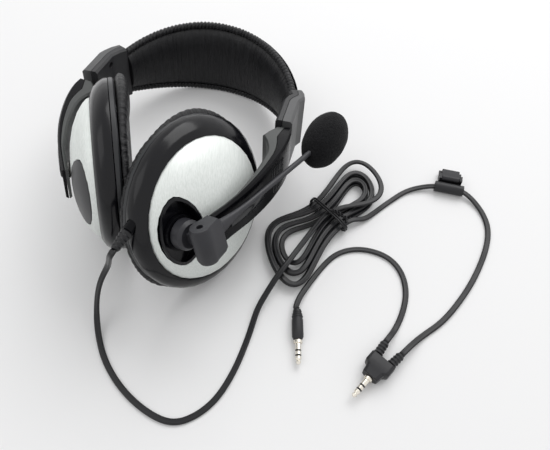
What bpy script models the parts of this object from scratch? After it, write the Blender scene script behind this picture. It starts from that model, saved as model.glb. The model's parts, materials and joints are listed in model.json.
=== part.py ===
"""Stereo headset with a boom microphone, lying on its side on a table.

The headset has its own axes: X from the left ear to the right ear, Y from the ears up to the
top of the band, Z along the band's width. Each cup has its own axes too: X from the cup's
centre towards the band, Z outwards, with the rim at Z = 0. The cords, the clip and the plugs
are placed in the table's axes. The finished model stands on Z = 0, centred on the headset.
"""

import math

import bmesh
import bpy
from mathutils import Matrix, Vector

MM = 0.001
GAP = 0.3 * MM  # clearance between pieces that touch
CUT_OVERRUN = 3.0 * MM  # how far cutters reach past what they cut

# How the headset lies on the table
HEADSET_PLACE = Vector((-58.4, 57.3, 41.14)) * MM
HEADSET_YAW = math.radians(-12.8)
HEADSET_PITCH = math.radians(-12.60)
HEADSET_ROLL = math.radians(0.69)

# Band: an elliptical spring strip between a cover and a cushion
BAND_HALF_SPAN = 72.0 * MM
BAND_RISE = 80.5 * MM
BAND_LIFT = 2.2 * MM  # the arch's top sits this far up along the band's width
BAND_LIFT_SPREAD = 1.57  # the lift has run out a quarter turn past the top, over this
SPRING_TUCK_ANGLE = 0.075  # how far the spring runs into the end caps
SPRING_WIDTH = 14.0 * MM
SPRING_THICKNESS = 0.8 * MM
COVER_THICKNESS = 1.3 * MM
COVER_INSET = 2.6 * MM
PAD_MIDDLE_WIDTH = 54.5 * MM
PAD_END_WIDTH = 33.0 * MM
PAD_EDGE_DEPTH = 5.2 * MM
PAD_CROWN_DEPTH = 9.0 * MM
PIPING_RADIUS = 2.4 * MM
PIPING_GATHER = 0.3 * MM
PIPING_GATHERS = 27

# End caps of the band, each an outer and an inner half round the slider's channel
CAP_WIDTH = 37.0 * MM
CAP_OUTER_THICKNESS = 6.3 * MM  # over the slider's middle
CAP_INNER_THICKNESS = 4.2 * MM
CAP_OUTER_AT_BAND = 3.7 * MM
CAP_INNER_AT_BAND = 5.6 * MM
CAP_STRAIGHT = 24.0 * MM
CAP_EDGE_BEVEL = 1.4 * MM
CAP_BEND_STATIONS = 4  # from the band's end to the straight channel
CAP_HOLE_HEIGHT = 20.0 * MM
CAP_HOLE_RADIUS = 1.9 * MM
CAP_HOLE_DEPTH = 2.0 * MM

# Slider strips, straight, from the arms up into the caps
SLIDER_LINE = 65.7 * MM  # distance from the headset's middle plane
SLIDER_WIDTH = 14.0 * MM
SLIDER_THICKNESS = 1.2 * MM
SLIDER_ABOVE_ARM = 22.0 * MM
SLIDER_IN_ARM = 10.0 * MM

# Arms: outline of the outer face, from the cap's lower face down to the tip, in millimetres
ARM_OUTLINE = [
    (72.2, 0.0), (73.2, -8.0), (71.8, -22.0), (67.6, -40.0), (61.5, -57.0), (54.4, -72.0), (49.4, -82.0),
]
ARM_STATIONS = 18
ARM_TOP_WIDTH = 30.0 * MM
ARM_TIP_WIDTH = 21.0 * MM
ARM_TOP_DEPTH = 10.0 * MM
ARM_WEB_DEPTH = 17.5 * MM  # the bracket below the cap
ARM_WEB_PEAK = 0.10  # along the arm, as a share of its length
ARM_WEB_END = 0.35
ARM_BELLY_DEPTH = 7.6 * MM
ARM_TIP_DEPTH = 3.4 * MM
ARM_OUTER_SHARE = 0.45  # how much of the arm's depth is its outer half
ARM_CHAMFER = 1.1 * MM
ARM_PIVOT_FROM_TIP = 12.9 * MM
INLAY_START = 0.50  # along the arm, as a share of its length
INLAY_END = 0.93
INLAY_WIDTH = 9.0 * MM
INLAY_HEIGHT = 0.8 * MM

# Cups
CUP_SEGMENTS = 36
ROUND_SEGMENTS = 20  # middling round pieces
SMALL_SEGMENTS = 12  # small round pieces
CUP_OVALITY = 1.01
RIM_RADIUS = 50.2 * MM
SHELL_HEIGHT = 10.4 * MM
SHELL_SEAT_DEPTH = 0.9 * MM  # the plate's seat, below the shell's top
SHELL_WALL = 2.0 * MM
SHELL_LIP = 1.0 * MM  # round the plate
SHELL_SIDE = ((0.0, 0.0), (0.2 * MM, 0.25), (1.7 * MM, 0.53), (4.0 * MM, 0.78))  # inset, share of height
SHELL_FLOOR_BORE = 9.0 * MM
PLATE_RADIUS = 40.8 * MM
PLATE_CROWN = 14.0 * MM
PLATE_WALL = 1.6 * MM
PLATE_SHIFT = 3.4 * MM  # the plate sits this far towards the cup's lower end
PLATE_BORE = 5.6 * MM
SEAM_RING_WIDTH = 5.2 * MM
SEAM_RING_HEIGHT = 3.0 * MM
SEAM_RING_BEVEL = 0.8 * MM
BAFFLE_THICKNESS = 2.0 * MM
DRIVER_RADIUS = 20.0 * MM
DRIVER_HEIGHT = 6.0 * MM
MAGNET_RADIUS = 9.5 * MM

# Ear pads: a cushion with a crown, drawn-in sides and pleats
EAR_PAD_OUTER = 49.4 * MM
EAR_PAD_INNER = 27.0 * MM
EAR_PAD_HEIGHT = 5.0 * MM
EAR_PAD_PLEATS = 30
EAR_PAD_PLEAT_DEPTH = 0.45 * MM

# Ball joint between an arm and its cup
BALL_RADIUS = 5.0 * MM
BALL_DEPTH = 8.5 * MM  # below the plate's crown
NECK_RADIUS = 2.6 * MM
STUD_FLANGE_RADIUS = 4.7 * MM
STUD_FLANGE_THICKNESS = 1.2 * MM
STUD_RECESS = 0.4 * MM  # its flange's seat in the arm
BUSH_RADIUS = 8.0 * MM
BUSH_HALF_HEIGHT = 3.2 * MM
SEAT_RADIUS = 10.8 * MM
SEAT_HALF_HEIGHT = 4.0 * MM
SEAT_FLANGE_RADIUS = 14.0 * MM
SEAT_FLANGE_HEIGHT = 1.4 * MM

# Leaf-shaped opening in each plate: a blank cap on the left, the microphone's tray on the right
LEAF_DISTANCE = 30.5 * MM  # from the cup's centre, towards its lower end
LEAF_HALF_WIDTH = 11.9 * MM
LEAF_HALF_LENGTH = 20.4 * MM
LEAF_POINTS = 20
TRAY_FLOOR = 15.8 * MM  # above the rim
TRAY_WALL = 1.3 * MM
BLANK_THICKNESS = 2.4 * MM
BLANK_RAISE = 0.7 * MM

# Microphone
MIC_DISC_RADIUS = 9.9 * MM
MIC_DISC_HEIGHT = 2.4 * MM
MIC_PIN_RADIUS = 2.0 * MM
MIC_DRUM_RADIUS = 8.3 * MM
MIC_DRUM_TOP = 25.6 * MM
MIC_DRUM_BEVEL = 1.6 * MM
MIC_BORE_ROOF = 2.0 * MM  # over the blind bore for the disc's pin
MIC_PIN_END_GAP = 1.0 * MM
KNUCKLE_RADIUS = 4.4 * MM
KNUCKLE_WIDTH = 6.0 * MM
KNUCKLE_NECK = 0.62  # half the neck's thickness as a share of the knuckle's radius
ELBOW_HEIGHT = 34.4 * MM  # the elbow pin above the rim
ELBOW_RADIUS = 6.1 * MM
ELBOW_WIDTH = 21.0 * MM
ELBOW_SHIFT = -2.0 * MM  # its middle, off the knuckle's
ELBOW_REACH = 11.0 * MM
ELBOW_NOSE_HEIGHT = 8.0 * MM
ELBOW_PIN_RADIUS = 1.5 * MM
ELBOW_PIN_INSET = 1.0 * MM  # its ends, inside the elbow's sides
ELBOW_SIDE_TAPER = 0.86  # the elbow's outline at its two sides
ELBOW_SIDE_DEPTH = 2.2 * MM
BOOM_ANGLE = math.radians(8.4)  # from the cup's upward axis
BOOM_ROOT_RADIUS = 4.6 * MM
BOOM_FLATTENING = 0.6  # the root's thickness as a share of its width
BOOM_ROD_RADIUS = 1.6 * MM
BOOM_TAPER_END = 36.0 * MM
CAPSULE_RADIUS = 4.6 * MM
CAPSULE_LENGTH = 8.0 * MM
WINDSCREEN_CENTRE = 111.9 * MM
WINDSCREEN_RADIUS = 13.3 * MM
WINDSCREEN_HALF_LENGTH = 20.0 * MM
WINDSCREEN_LEAN = math.radians(25.0)

# Cord gland and strain relief on the right cup
GLAND_HEIGHT = 3.6 * MM  # above the rim
GLAND_RADIUS = 3.0 * MM
GLAND_INSET = 8.2 * MM  # its inner end, inside the rim
GLAND_STAND_OUT = 2.4 * MM  # its outer end, beyond the rim
GLAND_TURN = math.radians(8.0)  # round the rim, from the cup's lower end
GLAND_DROOP = math.radians(30.0)
RELIEF_LENGTH = 11.0 * MM
RELIEF_RIBS = 5
RELIEF_ROOT_RADIUS = 3.5 * MM
RELIEF_TIP_RADIUS = 2.5 * MM
RIB_STEP = 0.7 * MM

# Cord and its hank
CORD_DIAMETER = 3.6 * MM
CORD_TO_TABLE = 0.1 * MM
CORD_STEP = 10.8 * MM  # distance between a tube's points
HANK_CENTRE = (35.0, 4.0)
HANK_TURN = math.radians(45.0)
HANK_LEFT_LENGTH = 52.8 * MM  # from the waist to the left lobe's end
HANK_RIGHT_LENGTH = 45.5 * MM
HANK_LEFT_HALF_WIDTH = 23.8 * MM
HANK_RIGHT_HALF_WIDTH = 17.0 * MM
HANK_WAIST_HALF_WIDTH = 12.4 * MM
HANK_LEFT_SLANT = 0.42  # how far the upper run lies ahead of the lower one, per unit of width
HANK_RIGHT_SLANT = 0.35
HANK_END_STEP = 4.9 * MM  # from one loop to the next, at the lobes' ends
HANK_LEFT_STEP = 6.6 * MM
HANK_RIGHT_STEP = 5.1 * MM
HANK_WAIST_STEP = 4.97 * MM
HANK_LAYER_RISE = 4.5 * MM
HANK_LIFT = 1.3 * MM  # the tie passes under the loops
HANK_TURNS = 5
HANK_REVERSE = 2.75  # turns until the spiral reaches its innermost loop
HANK_POINTS_PER_LOOP = 24
HANK_START_DEPTH = -0.45  # the first loop runs this far outside the others
TIE_WIDTH = 5.0 * MM
TIE_THICKNESS = 0.8 * MM

# Routes of the free cords on the table, in millimetres
CUP_CORD_ROUTE = [
    (-90.8, -53.7, 44.0), (-97.4, -56.3, 32.0), (-102.2, -60.8, 19.0), (-104.1, -68.4, 8.0),
    (-102.3, -79.5, 2.5), (-96.3, -93.2, 1.9), (-85.4, -107.7, 1.9), (-71.3, -119.6, 1.9),
    (-56.6, -126.3, 1.9), (-44.8, -123.7, 1.9), (-32.8, -114.3, 1.9), (-23.1, -98.0, 1.9),
    (-15.7, -78.3, 1.9), (-10.5, -61.4, 4.0), (-5.4, -53.0, 7.0), (0.2, -44.2, 11.0), (7.5, -34.0, 13.7),
]
HANK_TO_CLIP_ROUTE = [(58.5, 2.6, 4.4), (66.0, 8.8, 1.9), (78.1, 18.5, 1.9), (92.0, 27.5, 2.4)]
CLIP_TO_PLUG_ROUTE = [
    (137.0, 13.1, 2.4), (140.0, -1.2, 1.9), (136.3, -16.5, 1.9), (127.0, -34.6, 1.9),
    (115.0, -51.7, 1.9), (100.0, -67.9, 1.9), (85.0, -78.5, 2.3),
]
LINK_CORD_ROUTE = [
    (69.0, -76.0, 2.4), (75.0, -66.0, 1.9), (80.0, -51.0, 1.9), (79.0, -36.0, 1.9), (71.0, -24.5, 1.9),
    (55.0, -19.0, 1.9), (39.5, -22.5, 1.9), (27.0, -35.4, 1.9), (18.7, -47.6, 2.4),
]

# Clothing clip on the cord
CLIP_PLACE = Vector((118.5, 27.0, 3.9)) * MM
CLIP_TURN = math.radians(-14.5)
CLIP_LENGTH = 19.0 * MM
CLIP_SLEEVE_RADIUS = 3.6 * MM
CLIP_SLEEVE_BORE = 2.15 * MM
CLIP_JAW_REACH = 12.0 * MM
CLIP_JAW_THICKNESS = 1.6 * MM
CLIP_MOUTH = 1.2 * MM
CLIP_JAW_ROOT = 0.5 * MM  # the lower jaw starts this far outside the bore
CLIP_HINGE_OUT = 2.4 * MM  # the jaw's pin, beyond the sleeve's side
CLIP_HINGE_RISE = 1.7 * MM  # and above the mouth
CLIP_KNUCKLE_WALL = 0.9 * MM
CLIP_EAR_WIDTH = 1.5 * MM
CLIP_EAR_ROOT = 0.4 * MM
CLIP_PIN_RADIUS = 0.9 * MM

# Plugs
PIN_RADIUS = 1.75 * MM
PIN_LENGTH = 14.0 * MM
PIN_COLLAR_RADIUS = 2.6 * MM
PIN_COLLAR_LENGTH = 1.6 * MM
PIN_GROOVE_DEPTH = 0.2 * MM
PIN_GROOVE_SLOPE = 0.1 * MM
PIN_GROOVES = ((8.0 * MM, 7.3 * MM), (5.0 * MM, 4.3 * MM))  # from the tip, near and far side
# From the tip, share of radius
PIN_HEAD = ((3.0 * MM, 1.0), (2.2 * MM, 0.62), (1.2 * MM, 0.9), (0.0, 0.45))
STRAIGHT_PLUG_PLACE = Vector((13.2, -62.0, 3.5)) * MM
STRAIGHT_PLUG_TURN = math.radians(-90.0)
STRAIGHT_PLUG_RADIUS = 3.4 * MM
STRAIGHT_PLUG_LENGTH = 19.0 * MM
STRAIGHT_PLUG_TAIL_WALL = 0.5 * MM  # round the cord
STRAIGHT_PLUG_RIBS = 3
STRAIGHT_PLUG_FIRST_RIB = 1.2 * MM
STRAIGHT_PLUG_RIB_PITCH = 1.5 * MM
STRAIGHT_PLUG_RIB_WIDTH = 0.8 * MM
STRAIGHT_PLUG_RIB_DEPTH = 0.4 * MM
STRAIGHT_PLUG_SHOULDER = 6.5 * MM
STRAIGHT_PLUG_NOSE = 2.0 * MM
STRAIGHT_PLUG_NOSE_DEPTH = 0.9 * MM
PLUG_CORD_SAG = 0.6 * MM  # of a cord, two diameters behind its plug
Y_PLUG_PLACE = Vector((61.0, -93.6, 4.9)) * MM
Y_PLUG_TURN = math.radians(-133.0)
Y_PLUG_LENGTH = 13.0 * MM
Y_PLUG_REAR_WIDTH = 15.6 * MM
Y_PLUG_FRONT_WIDTH = 9.6 * MM
Y_PLUG_HEIGHT = 9.4 * MM
Y_PLUG_BEVEL = 1.6 * MM
Y_RELIEF_SPREAD = 4.6 * MM
Y_RELIEF_SPLAY = math.radians(6.0)
Y_RELIEF_LENGTH = 8.5 * MM
Y_RELIEF_RIBS = 4
Y_RELIEF_RADIUS = 3.0 * MM
Y_RELIEF_STAND_OFF = 0.4 * MM
Y_RELIEF_TIP_WALL = 0.9 * MM

# Per side: sign, the band's end, the cap's lower face, how far the arm is drawn out of it and
# sprung inwards, the cup's lean, sweep and roll in degrees, the arm's twist and drop
SIDES = {
    "right": {
        "sign": 1, "band_end": 1.24, "cap_bottom": -11.0 * MM, "drawn_out": 1.0 * MM, "pinch": 0.0 * MM,
        "clearance": 2.4 * MM, "lean": 24.1, "sweep": 16.7, "roll": -16.0, "twist": 13.0, "drop": 0.0 * MM,
    },
    "left": {
        "sign": -1, "band_end": 1.0, "cap_bottom": 6.0 * MM, "drawn_out": 5.0 * MM, "pinch": 5.6 * MM,
        "clearance": 1.7 * MM, "lean": 26.7, "sweep": 4.2, "roll": 12.0, "twist": 4.0, "drop": 1.0 * MM,
    },
}


# ---------------------------------------------------------------- helpers

def clear_scene():
    for item in list(bpy.data.objects):
        bpy.data.objects.remove(item, do_unlink=True)


def make_material(name, colour, roughness, metallic=0.0):
    material = bpy.data.materials.new(name)
    material.use_nodes = True
    shader = material.node_tree.nodes["Principled BSDF"]
    shader.inputs["Base Color"].default_value = (*colour, 1.0)
    shader.inputs["Roughness"].default_value = roughness
    shader.inputs["Metallic"].default_value = metallic
    return material


def make_axes(name, matrix, parent=None):
    """An empty whose own axes are the given matrix in its parent's axes."""
    empty = bpy.data.objects.new(name, None)
    bpy.context.collection.objects.link(empty)
    empty.parent = parent
    empty.matrix_local = matrix
    return empty


def frame_matrix(x_axis, y_axis, z_axis, place):
    matrix = Matrix((x_axis, y_axis, z_axis)).transposed().to_4x4()
    matrix.translation = place
    return matrix


def add_mesh(name, points, faces, material, parent, smooth=True):
    mesh = bpy.data.meshes.new(name)
    mesh.from_pydata([tuple(point) for point in points], [], faces)
    work = bmesh.new()
    work.from_mesh(mesh)
    bmesh.ops.recalc_face_normals(work, faces=work.faces)
    work.to_mesh(mesh)
    work.free()
    if smooth:
        mesh.shade_smooth()
        mesh.set_sharp_from_angle(angle=math.radians(35.0))
    mesh.materials.append(material)
    piece = bpy.data.objects.new(name, mesh)
    bpy.context.collection.objects.link(piece)
    piece.parent = parent
    return piece


def loft(rings, closed=False):
    """Points and faces of a skin over equal rings; open lofts get flat end caps."""
    count = len(rings[0])
    points = [point for ring in rings for point in ring]
    faces = []
    spans = len(rings) if closed else len(rings) - 1
    for ring in range(spans):
        here = ring * count
        there = ((ring + 1) % len(rings)) * count
        for step in range(count):
            ahead = (step + 1) % count
            faces.append((here + step, here + ahead, there + ahead, there + step))
    if not closed:
        last = (len(rings) - 1) * count
        faces.append(tuple(reversed(range(count))))
        faces.append(tuple(range(last, last + count)))
    return points, faces


def spin(profile, segments=CUP_SEGMENTS, ovality=1.0, closed=True):
    """Turn a profile of (radius, height[, shift]) points about Z.

    A closed profile makes a ring. An open one starts and ends on the axis.
    """
    rows = [(row[0], row[1], row[2] if len(row) > 2 else 0.0) for row in profile]
    points = []
    starts = []
    for radius, height, shift in rows:
        starts.append(len(points))
        if radius == 0.0:
            points.append(Vector((shift, 0.0, height)))
            continue
        for step in range(segments):
            angle = 2.0 * math.pi * step / segments
            across = radius * ovality * math.cos(angle) + shift
            points.append(Vector((across, radius * math.sin(angle), height)))
    faces = []
    spans = len(rows) if closed else len(rows) - 1
    for row in range(spans):
        after = (row + 1) % len(rows)
        for step in range(segments):
            ahead = (step + 1) % segments
            near = [starts[row]] if rows[row][0] == 0.0 else [starts[row] + step, starts[row] + ahead]
            far = [starts[after] + ahead, starts[after] + step]
            if rows[after][0] == 0.0:
                far = [starts[after]]
            face = near + far
            if len(face) > 2:
                faces.append(tuple(face))
    return points, faces


def moved(points, matrix):
    return [matrix @ point for point in points]


def add_cutter(name, points, faces, parent):
    cutter = add_mesh(name, points, faces, MATERIALS["black_plastic"], parent, smooth=False)
    cutter.hide_render = True
    cutter.display_type = "WIRE"
    return cutter


def cut(piece, cutter):
    modifier = piece.modifiers.new("cut_" + cutter.name, "BOOLEAN")
    modifier.operation = "DIFFERENCE"
    modifier.solver = "EXACT"
    modifier.object = cutter


def cylinder(radius, start, end, segments=24):
    return spin([(0.0, start), (radius, start), (radius, end), (0.0, end)], segments, closed=False)


def box(low, high):
    corners = [(low[0], high[0]), (low[1], high[1]), (low[2], high[2])]
    rings = []
    for z in corners[2]:
        rings.append([
            Vector((corners[0][0], corners[1][0], z)), Vector((corners[0][1], corners[1][0], z)),
            Vector((corners[0][1], corners[1][1], z)), Vector((corners[0][0], corners[1][1], z)),
        ])
    return loft(rings)


def smooth_curve(knots, per_span=16):
    """Dense points on a Catmull-Rom curve through the knots."""
    padded = [knots[0] * 2.0 - knots[1]] + list(knots) + [knots[-1] * 2.0 - knots[-2]]
    dense = []
    for index in range(1, len(padded) - 2):
        before, start, end, after = padded[index - 1:index + 3]
        for step in range(per_span):
            t = step / per_span
            dense.append(0.5 * (
                2.0 * start + (end - before) * t
                + (2.0 * before - 5.0 * start + 4.0 * end - after) * t * t
                + (3.0 * start - before - 3.0 * end + after) * t * t * t
            ))
    dense.append(knots[-1].copy())
    return dense


def even_points(dense, count):
    """Points at equal distances along a dense line."""
    lengths = [0.0]
    for index in range(1, len(dense)):
        lengths.append(lengths[-1] + (dense[index] - dense[index - 1]).length)
    result = []
    index = 0
    for step in range(count):
        target = lengths[-1] * step / (count - 1)
        while index < len(dense) - 2 and lengths[index + 1] < target:
            index += 1
        span = lengths[index + 1] - lengths[index]
        share = (target - lengths[index]) / span if span > 0.0 else 0.0
        result.append(dense[index].lerp(dense[index + 1], min(share, 1.0)))
    return result


def line_length(points):
    return sum((points[index] - points[index - 1]).length for index in range(1, len(points)))


def add_tube(name, points, diameter, material, parent, resolution=2):
    curve = bpy.data.curves.new(name, "CURVE")
    curve.dimensions = "3D"
    curve.bevel_depth = diameter / 2.0
    curve.bevel_resolution = resolution
    curve.use_fill_caps = True
    spline = curve.splines.new("POLY")
    spline.points.add(len(points) - 1)
    for target, point in zip(spline.points, points):
        target.co = (*point, 1.0)
    curve.materials.append(material)
    tube = bpy.data.objects.new(name, curve)
    bpy.context.collection.objects.link(tube)
    tube.parent = parent
    return tube


def ribbed_profile(start, length, ribs, root_radius, tip_radius):
    """Profile of a strain relief: ribs of two unlike radii that narrow towards its tip."""
    profile = [(0.0, start), (root_radius - RIB_STEP, start)]
    pitch = length / ribs
    for rib in range(ribs):
        radius = root_radius + (tip_radius - root_radius) * rib / ribs
        base = start + rib * pitch
        profile += [(radius, base + pitch * 0.3), (radius - RIB_STEP, base + pitch)]
    profile.append((0.0, start + length))
    return profile


# ---------------------------------------------------------------- materials

MATERIALS = {}


def make_materials():
    table = {
        "leatherette": ((0.016, 0.016, 0.018), 0.55, 0.0),
        "black_plastic": ((0.015, 0.015, 0.017), 0.42, 0.0),
        "gloss_plastic": ((0.012, 0.012, 0.014), 0.16, 0.0),
        "grey_plastic": ((0.075, 0.078, 0.082), 0.45, 0.0),
        "dark_grey_plastic": ((0.05, 0.052, 0.055), 0.4, 0.0),
        "silver_plate": ((0.66, 0.68, 0.67), 0.38, 0.9),
        "spring_steel": ((0.55, 0.55, 0.56), 0.35, 1.0),
        "nylon": ((0.4, 0.4, 0.4), 0.5, 0.0),
        "foam": ((0.008, 0.008, 0.009), 0.95, 0.0),
        "cord_jacket": ((0.02, 0.021, 0.023), 0.5, 0.0),
        "plug_metal": ((0.82, 0.74, 0.58), 0.2, 1.0),
        "screw_steel": ((0.5, 0.5, 0.5), 0.3, 1.0),
    }
    for name, (colour, roughness, metallic) in table.items():
        MATERIALS[name] = make_material(name, colour, roughness, metallic)


# ---------------------------------------------------------------- band

def band_point(angle, inward, across):
    """A point of the band: inward is measured from the spring's middle, across along its width."""
    x = BAND_HALF_SPAN * math.sin(angle)
    y = BAND_RISE * math.cos(angle)
    normal = Vector((x / BAND_HALF_SPAN ** 2, y / BAND_RISE ** 2, 0.0)).normalized()
    lift = BAND_LIFT * max(0.0, math.cos(angle * BAND_LIFT_SPREAD))
    return Vector((x, y, across + lift)) - normal * inward


def band_rings(section, steps, tuck=0.0):
    left = SIDES["left"]["band_end"] + tuck
    right = SIDES["right"]["band_end"] + tuck
    rings = []
    for step in range(steps + 1):
        angle = -left + (left + right) * step / steps
        rings.append([band_point(angle, inward, across) for across, inward in section(angle, step)])
    return rings


def pad_width(angle):
    share = (angle / SIDES["right" if angle > 0.0 else "left"]["band_end"]) ** 2
    return PAD_MIDDLE_WIDTH + (PAD_END_WIDTH - PAD_MIDDLE_WIDTH) * share


def pad_section(angle, step):
    """Cushion between two gathered pipings; every other ring is drawn in."""
    half = pad_width(angle) / 2.0
    back = SPRING_THICKNESS / 2.0 + GAP
    gather = PIPING_GATHER if step % 2 else -PIPING_GATHER
    piping = PIPING_RADIUS + gather
    middle = back + PIPING_RADIUS
    crown = PAD_CROWN_DEPTH + gather * 0.4
    return [
        (-half + PIPING_RADIUS, back), (half - PIPING_RADIUS, back),
        (half - PIPING_RADIUS + piping * 0.7, middle - piping * 0.7),
        (half - PIPING_RADIUS + piping, middle),
        (half - PIPING_RADIUS + piping * 0.5, middle + piping * 0.85),
        (half - PIPING_RADIUS * 2.2, PAD_EDGE_DEPTH),
        (half * 0.45, crown), (-half * 0.45, crown),
        (-half + PIPING_RADIUS * 2.2, PAD_EDGE_DEPTH),
        (-half + PIPING_RADIUS - piping * 0.5, middle + piping * 0.85),
        (-half + PIPING_RADIUS - piping, middle),
        (-half + PIPING_RADIUS - piping * 0.7, middle - piping * 0.7),
    ]


def cover_section(angle, step):
    half = pad_width(angle) / 2.0 - COVER_INSET
    low = -SPRING_THICKNESS / 2.0 - GAP
    high = low - COVER_THICKNESS
    edge = COVER_THICKNESS * 0.6
    return [(half, low), (-half, low), (-half, high + edge), (-half + edge, high), (half - edge, high),
            (half, high + edge)]


def spring_section(angle, step):
    half = SPRING_WIDTH / 2.0
    thick = SPRING_THICKNESS / 2.0
    return [(half, thick), (-half, thick), (-half, -thick), (half, -thick)]


def build_band(parent):
    add_mesh("band_spring", *loft(band_rings(spring_section, 24, SPRING_TUCK_ANGLE)),
             MATERIALS["spring_steel"], parent)
    add_mesh("band_cover", *loft(band_rings(cover_section, 32)), MATERIALS["leatherette"], parent)
    add_mesh("band_pad", *loft(band_rings(pad_section, 2 * PIPING_GATHERS)), MATERIALS["leatherette"],
             parent)


# ---------------------------------------------------------------- end caps

def cap_path(data):
    """Middle line of a cap's channel, from the band's end down to the cap's lower face."""
    points = []
    for share in (0.0, 0.5, 1.0):
        angle = data["band_end"] + GAP / BAND_RISE + SPRING_TUCK_ANGLE * share
        points.append(flat_band_point(angle))
    straight_top = data["cap_bottom"] + CAP_STRAIGHT
    turn = points[-1].lerp(Vector((SLIDER_LINE, straight_top, 0.0)), 0.55)
    turn.x += (SLIDER_LINE - points[-1].x) * 0.12
    points.append(turn)
    points.append(Vector((SLIDER_LINE, straight_top, 0.0)))
    points.append(Vector((SLIDER_LINE, data["cap_bottom"] + CAP_STRAIGHT * 0.5, 0.0)))
    points.append(Vector((SLIDER_LINE, data["cap_bottom"], 0.0)))
    return points


def flat_band_point(angle):
    return Vector((BAND_HALF_SPAN * math.sin(angle), BAND_RISE * math.cos(angle), 0.0))


def path_normals(points):
    """Outward normals in the headset's plane for a line that runs downwards on the right side."""
    normals = []
    for index in range(len(points)):
        before = points[max(index - 1, 0)]
        after = points[min(index + 1, len(points) - 1)]
        run = (after - before).normalized()
        normals.append(Vector((-run.y, run.x, 0.0)))
    return normals


def cap_half_section(outer, share):
    """Half of a cap: a plate with the channel that the spring and the slider share.

    The share runs from 0 at the band to 1 where the channel gets straight.
    """
    half = CAP_WIDTH / 2.0
    channel = SLIDER_WIDTH / 2.0 + GAP
    clear = SLIDER_THICKNESS / 2.0 + GAP
    split = GAP / 2.0
    if outer:
        top = CAP_OUTER_AT_BAND + (CAP_OUTER_THICKNESS - CAP_OUTER_AT_BAND) * share
        edge = CAP_EDGE_BEVEL
        return [
            (-half, split), (-channel, split), (-channel, clear), (channel, clear), (channel, split),
            (half, split),
            (half, top - edge), (half - edge, top), (-half + edge, top), (-half, top - edge),
        ]
    low = -CAP_INNER_AT_BAND - (CAP_INNER_THICKNESS - CAP_INNER_AT_BAND) * share
    edge = CAP_EDGE_BEVEL
    return [
        (half, -split), (channel, -split), (channel, -clear), (-channel, -clear), (-channel, -split),
        (-half, -split),
        (-half, low + edge), (-half + edge, low), (half - edge, low), (half, low + edge),
    ]


def build_cap(side, data, parent):
    sign = data["sign"]
    points = cap_path(data)
    normals = path_normals(points)
    mirror = Matrix.Diagonal((sign, 1.0, 1.0, 1.0))
    for part, outer in (("outer", True), ("inner", False)):
        rings = []
        for index, (point, normal) in enumerate(zip(points, normals)):
            section = cap_half_section(outer, min(1.0, index / CAP_BEND_STATIONS))
            rings.append([mirror @ (point + normal * out + Vector((0.0, 0.0, across)))
                          for across, out in section])
        material = MATERIALS["grey_plastic" if outer else "dark_grey_plastic"]
        half = add_mesh("cap_%s_%s" % (side, part), *loft(rings), material, parent)
        if not outer:
            cut_cap_hole(side, data, half, parent)


def cut_cap_hole(side, data, half, parent):
    """A blind oval hole in the cap's inner face."""
    sign = data["sign"]
    face = SLIDER_LINE - CAP_INNER_THICKNESS
    across = (CAP_WIDTH / 2.0 + SLIDER_WIDTH / 2.0) / 2.0
    height = data["cap_bottom"] + CAP_HOLE_HEIGHT
    turn = frame_matrix(Vector((0.0, 1.0, 0.0)), Vector((0.0, 0.0, -sign)), Vector((-sign, 0.0, 0.0)),
                        Vector((sign * face, height, across)))
    points, faces = cylinder(CAP_HOLE_RADIUS, -CAP_HOLE_DEPTH, CAP_EDGE_BEVEL, 16)
    oval = Matrix.Diagonal((1.4, 1.0, 1.0, 1.0))
    cut(half, add_cutter("cap_%s_hole" % side, moved(points, turn @ oval), faces, parent))


# ---------------------------------------------------------------- arms

def arm_stations(data):
    """Places, outward normals and width directions along an arm's outer face."""
    knots = [Vector((x * MM, y * MM, 0.0)) for x, y in ARM_OUTLINE]
    points = even_points(smooth_curve(knots), ARM_STATIONS)
    normals = path_normals(points)
    stations = []
    for index, (point, normal) in enumerate(zip(points, normals)):
        share = index / (ARM_STATIONS - 1)
        twist = math.radians(data["twist"]) * share
        out = normal * math.cos(twist) + Vector((0.0, 0.0, math.sin(twist)))
        wide = Vector((0.0, 0.0, math.cos(twist))) - normal * math.sin(twist)
        place = point - Vector((data["pinch"] * share * share, 0.0, data["drop"] * share))
        stations.append((place, out, wide, share))
    return stations


def arm_width(share):
    return ARM_TOP_WIDTH + (ARM_TIP_WIDTH - ARM_TOP_WIDTH) * min(1.0, share * 1.15)


def arm_depth(share):
    """Depth of the arm under its outer face: a deep bracket at the slider, then a thin tip."""
    if share < ARM_WEB_PEAK:
        return ARM_TOP_DEPTH + (ARM_WEB_DEPTH - ARM_TOP_DEPTH) * share / ARM_WEB_PEAK
    if share < ARM_WEB_END:
        fall = (share - ARM_WEB_PEAK) / (ARM_WEB_END - ARM_WEB_PEAK)
        return ARM_WEB_DEPTH + (ARM_BELLY_DEPTH - ARM_WEB_DEPTH) * math.sin(fall * math.pi / 2.0)
    fall = (share - ARM_WEB_END) / (1.0 - ARM_WEB_END)
    return ARM_BELLY_DEPTH + (ARM_TIP_DEPTH - ARM_BELLY_DEPTH) * min(1.0, fall * 1.5)


def arm_half_rings(stations, mirror, outer):
    rings = []
    for place, out, wide, share in stations:
        half = arm_width(share) / 2.0
        depth = arm_depth(share)
        split = depth * ARM_OUTER_SHARE
        edge = ARM_CHAMFER
        if outer:
            section = [(half, -split), (half, -edge), (half - edge, 0.0), (-half + edge, 0.0),
                       (-half, -edge), (-half, -split)]
        else:
            top = -split - GAP
            section = [(half, top), (-half, top), (-half, -depth + edge), (-half + edge, -depth),
                       (half - edge, -depth), (half, -depth + edge)]
        rings.append([mirror @ (place + wide * across + out * lift) for across, lift in section])
    return rings


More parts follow.
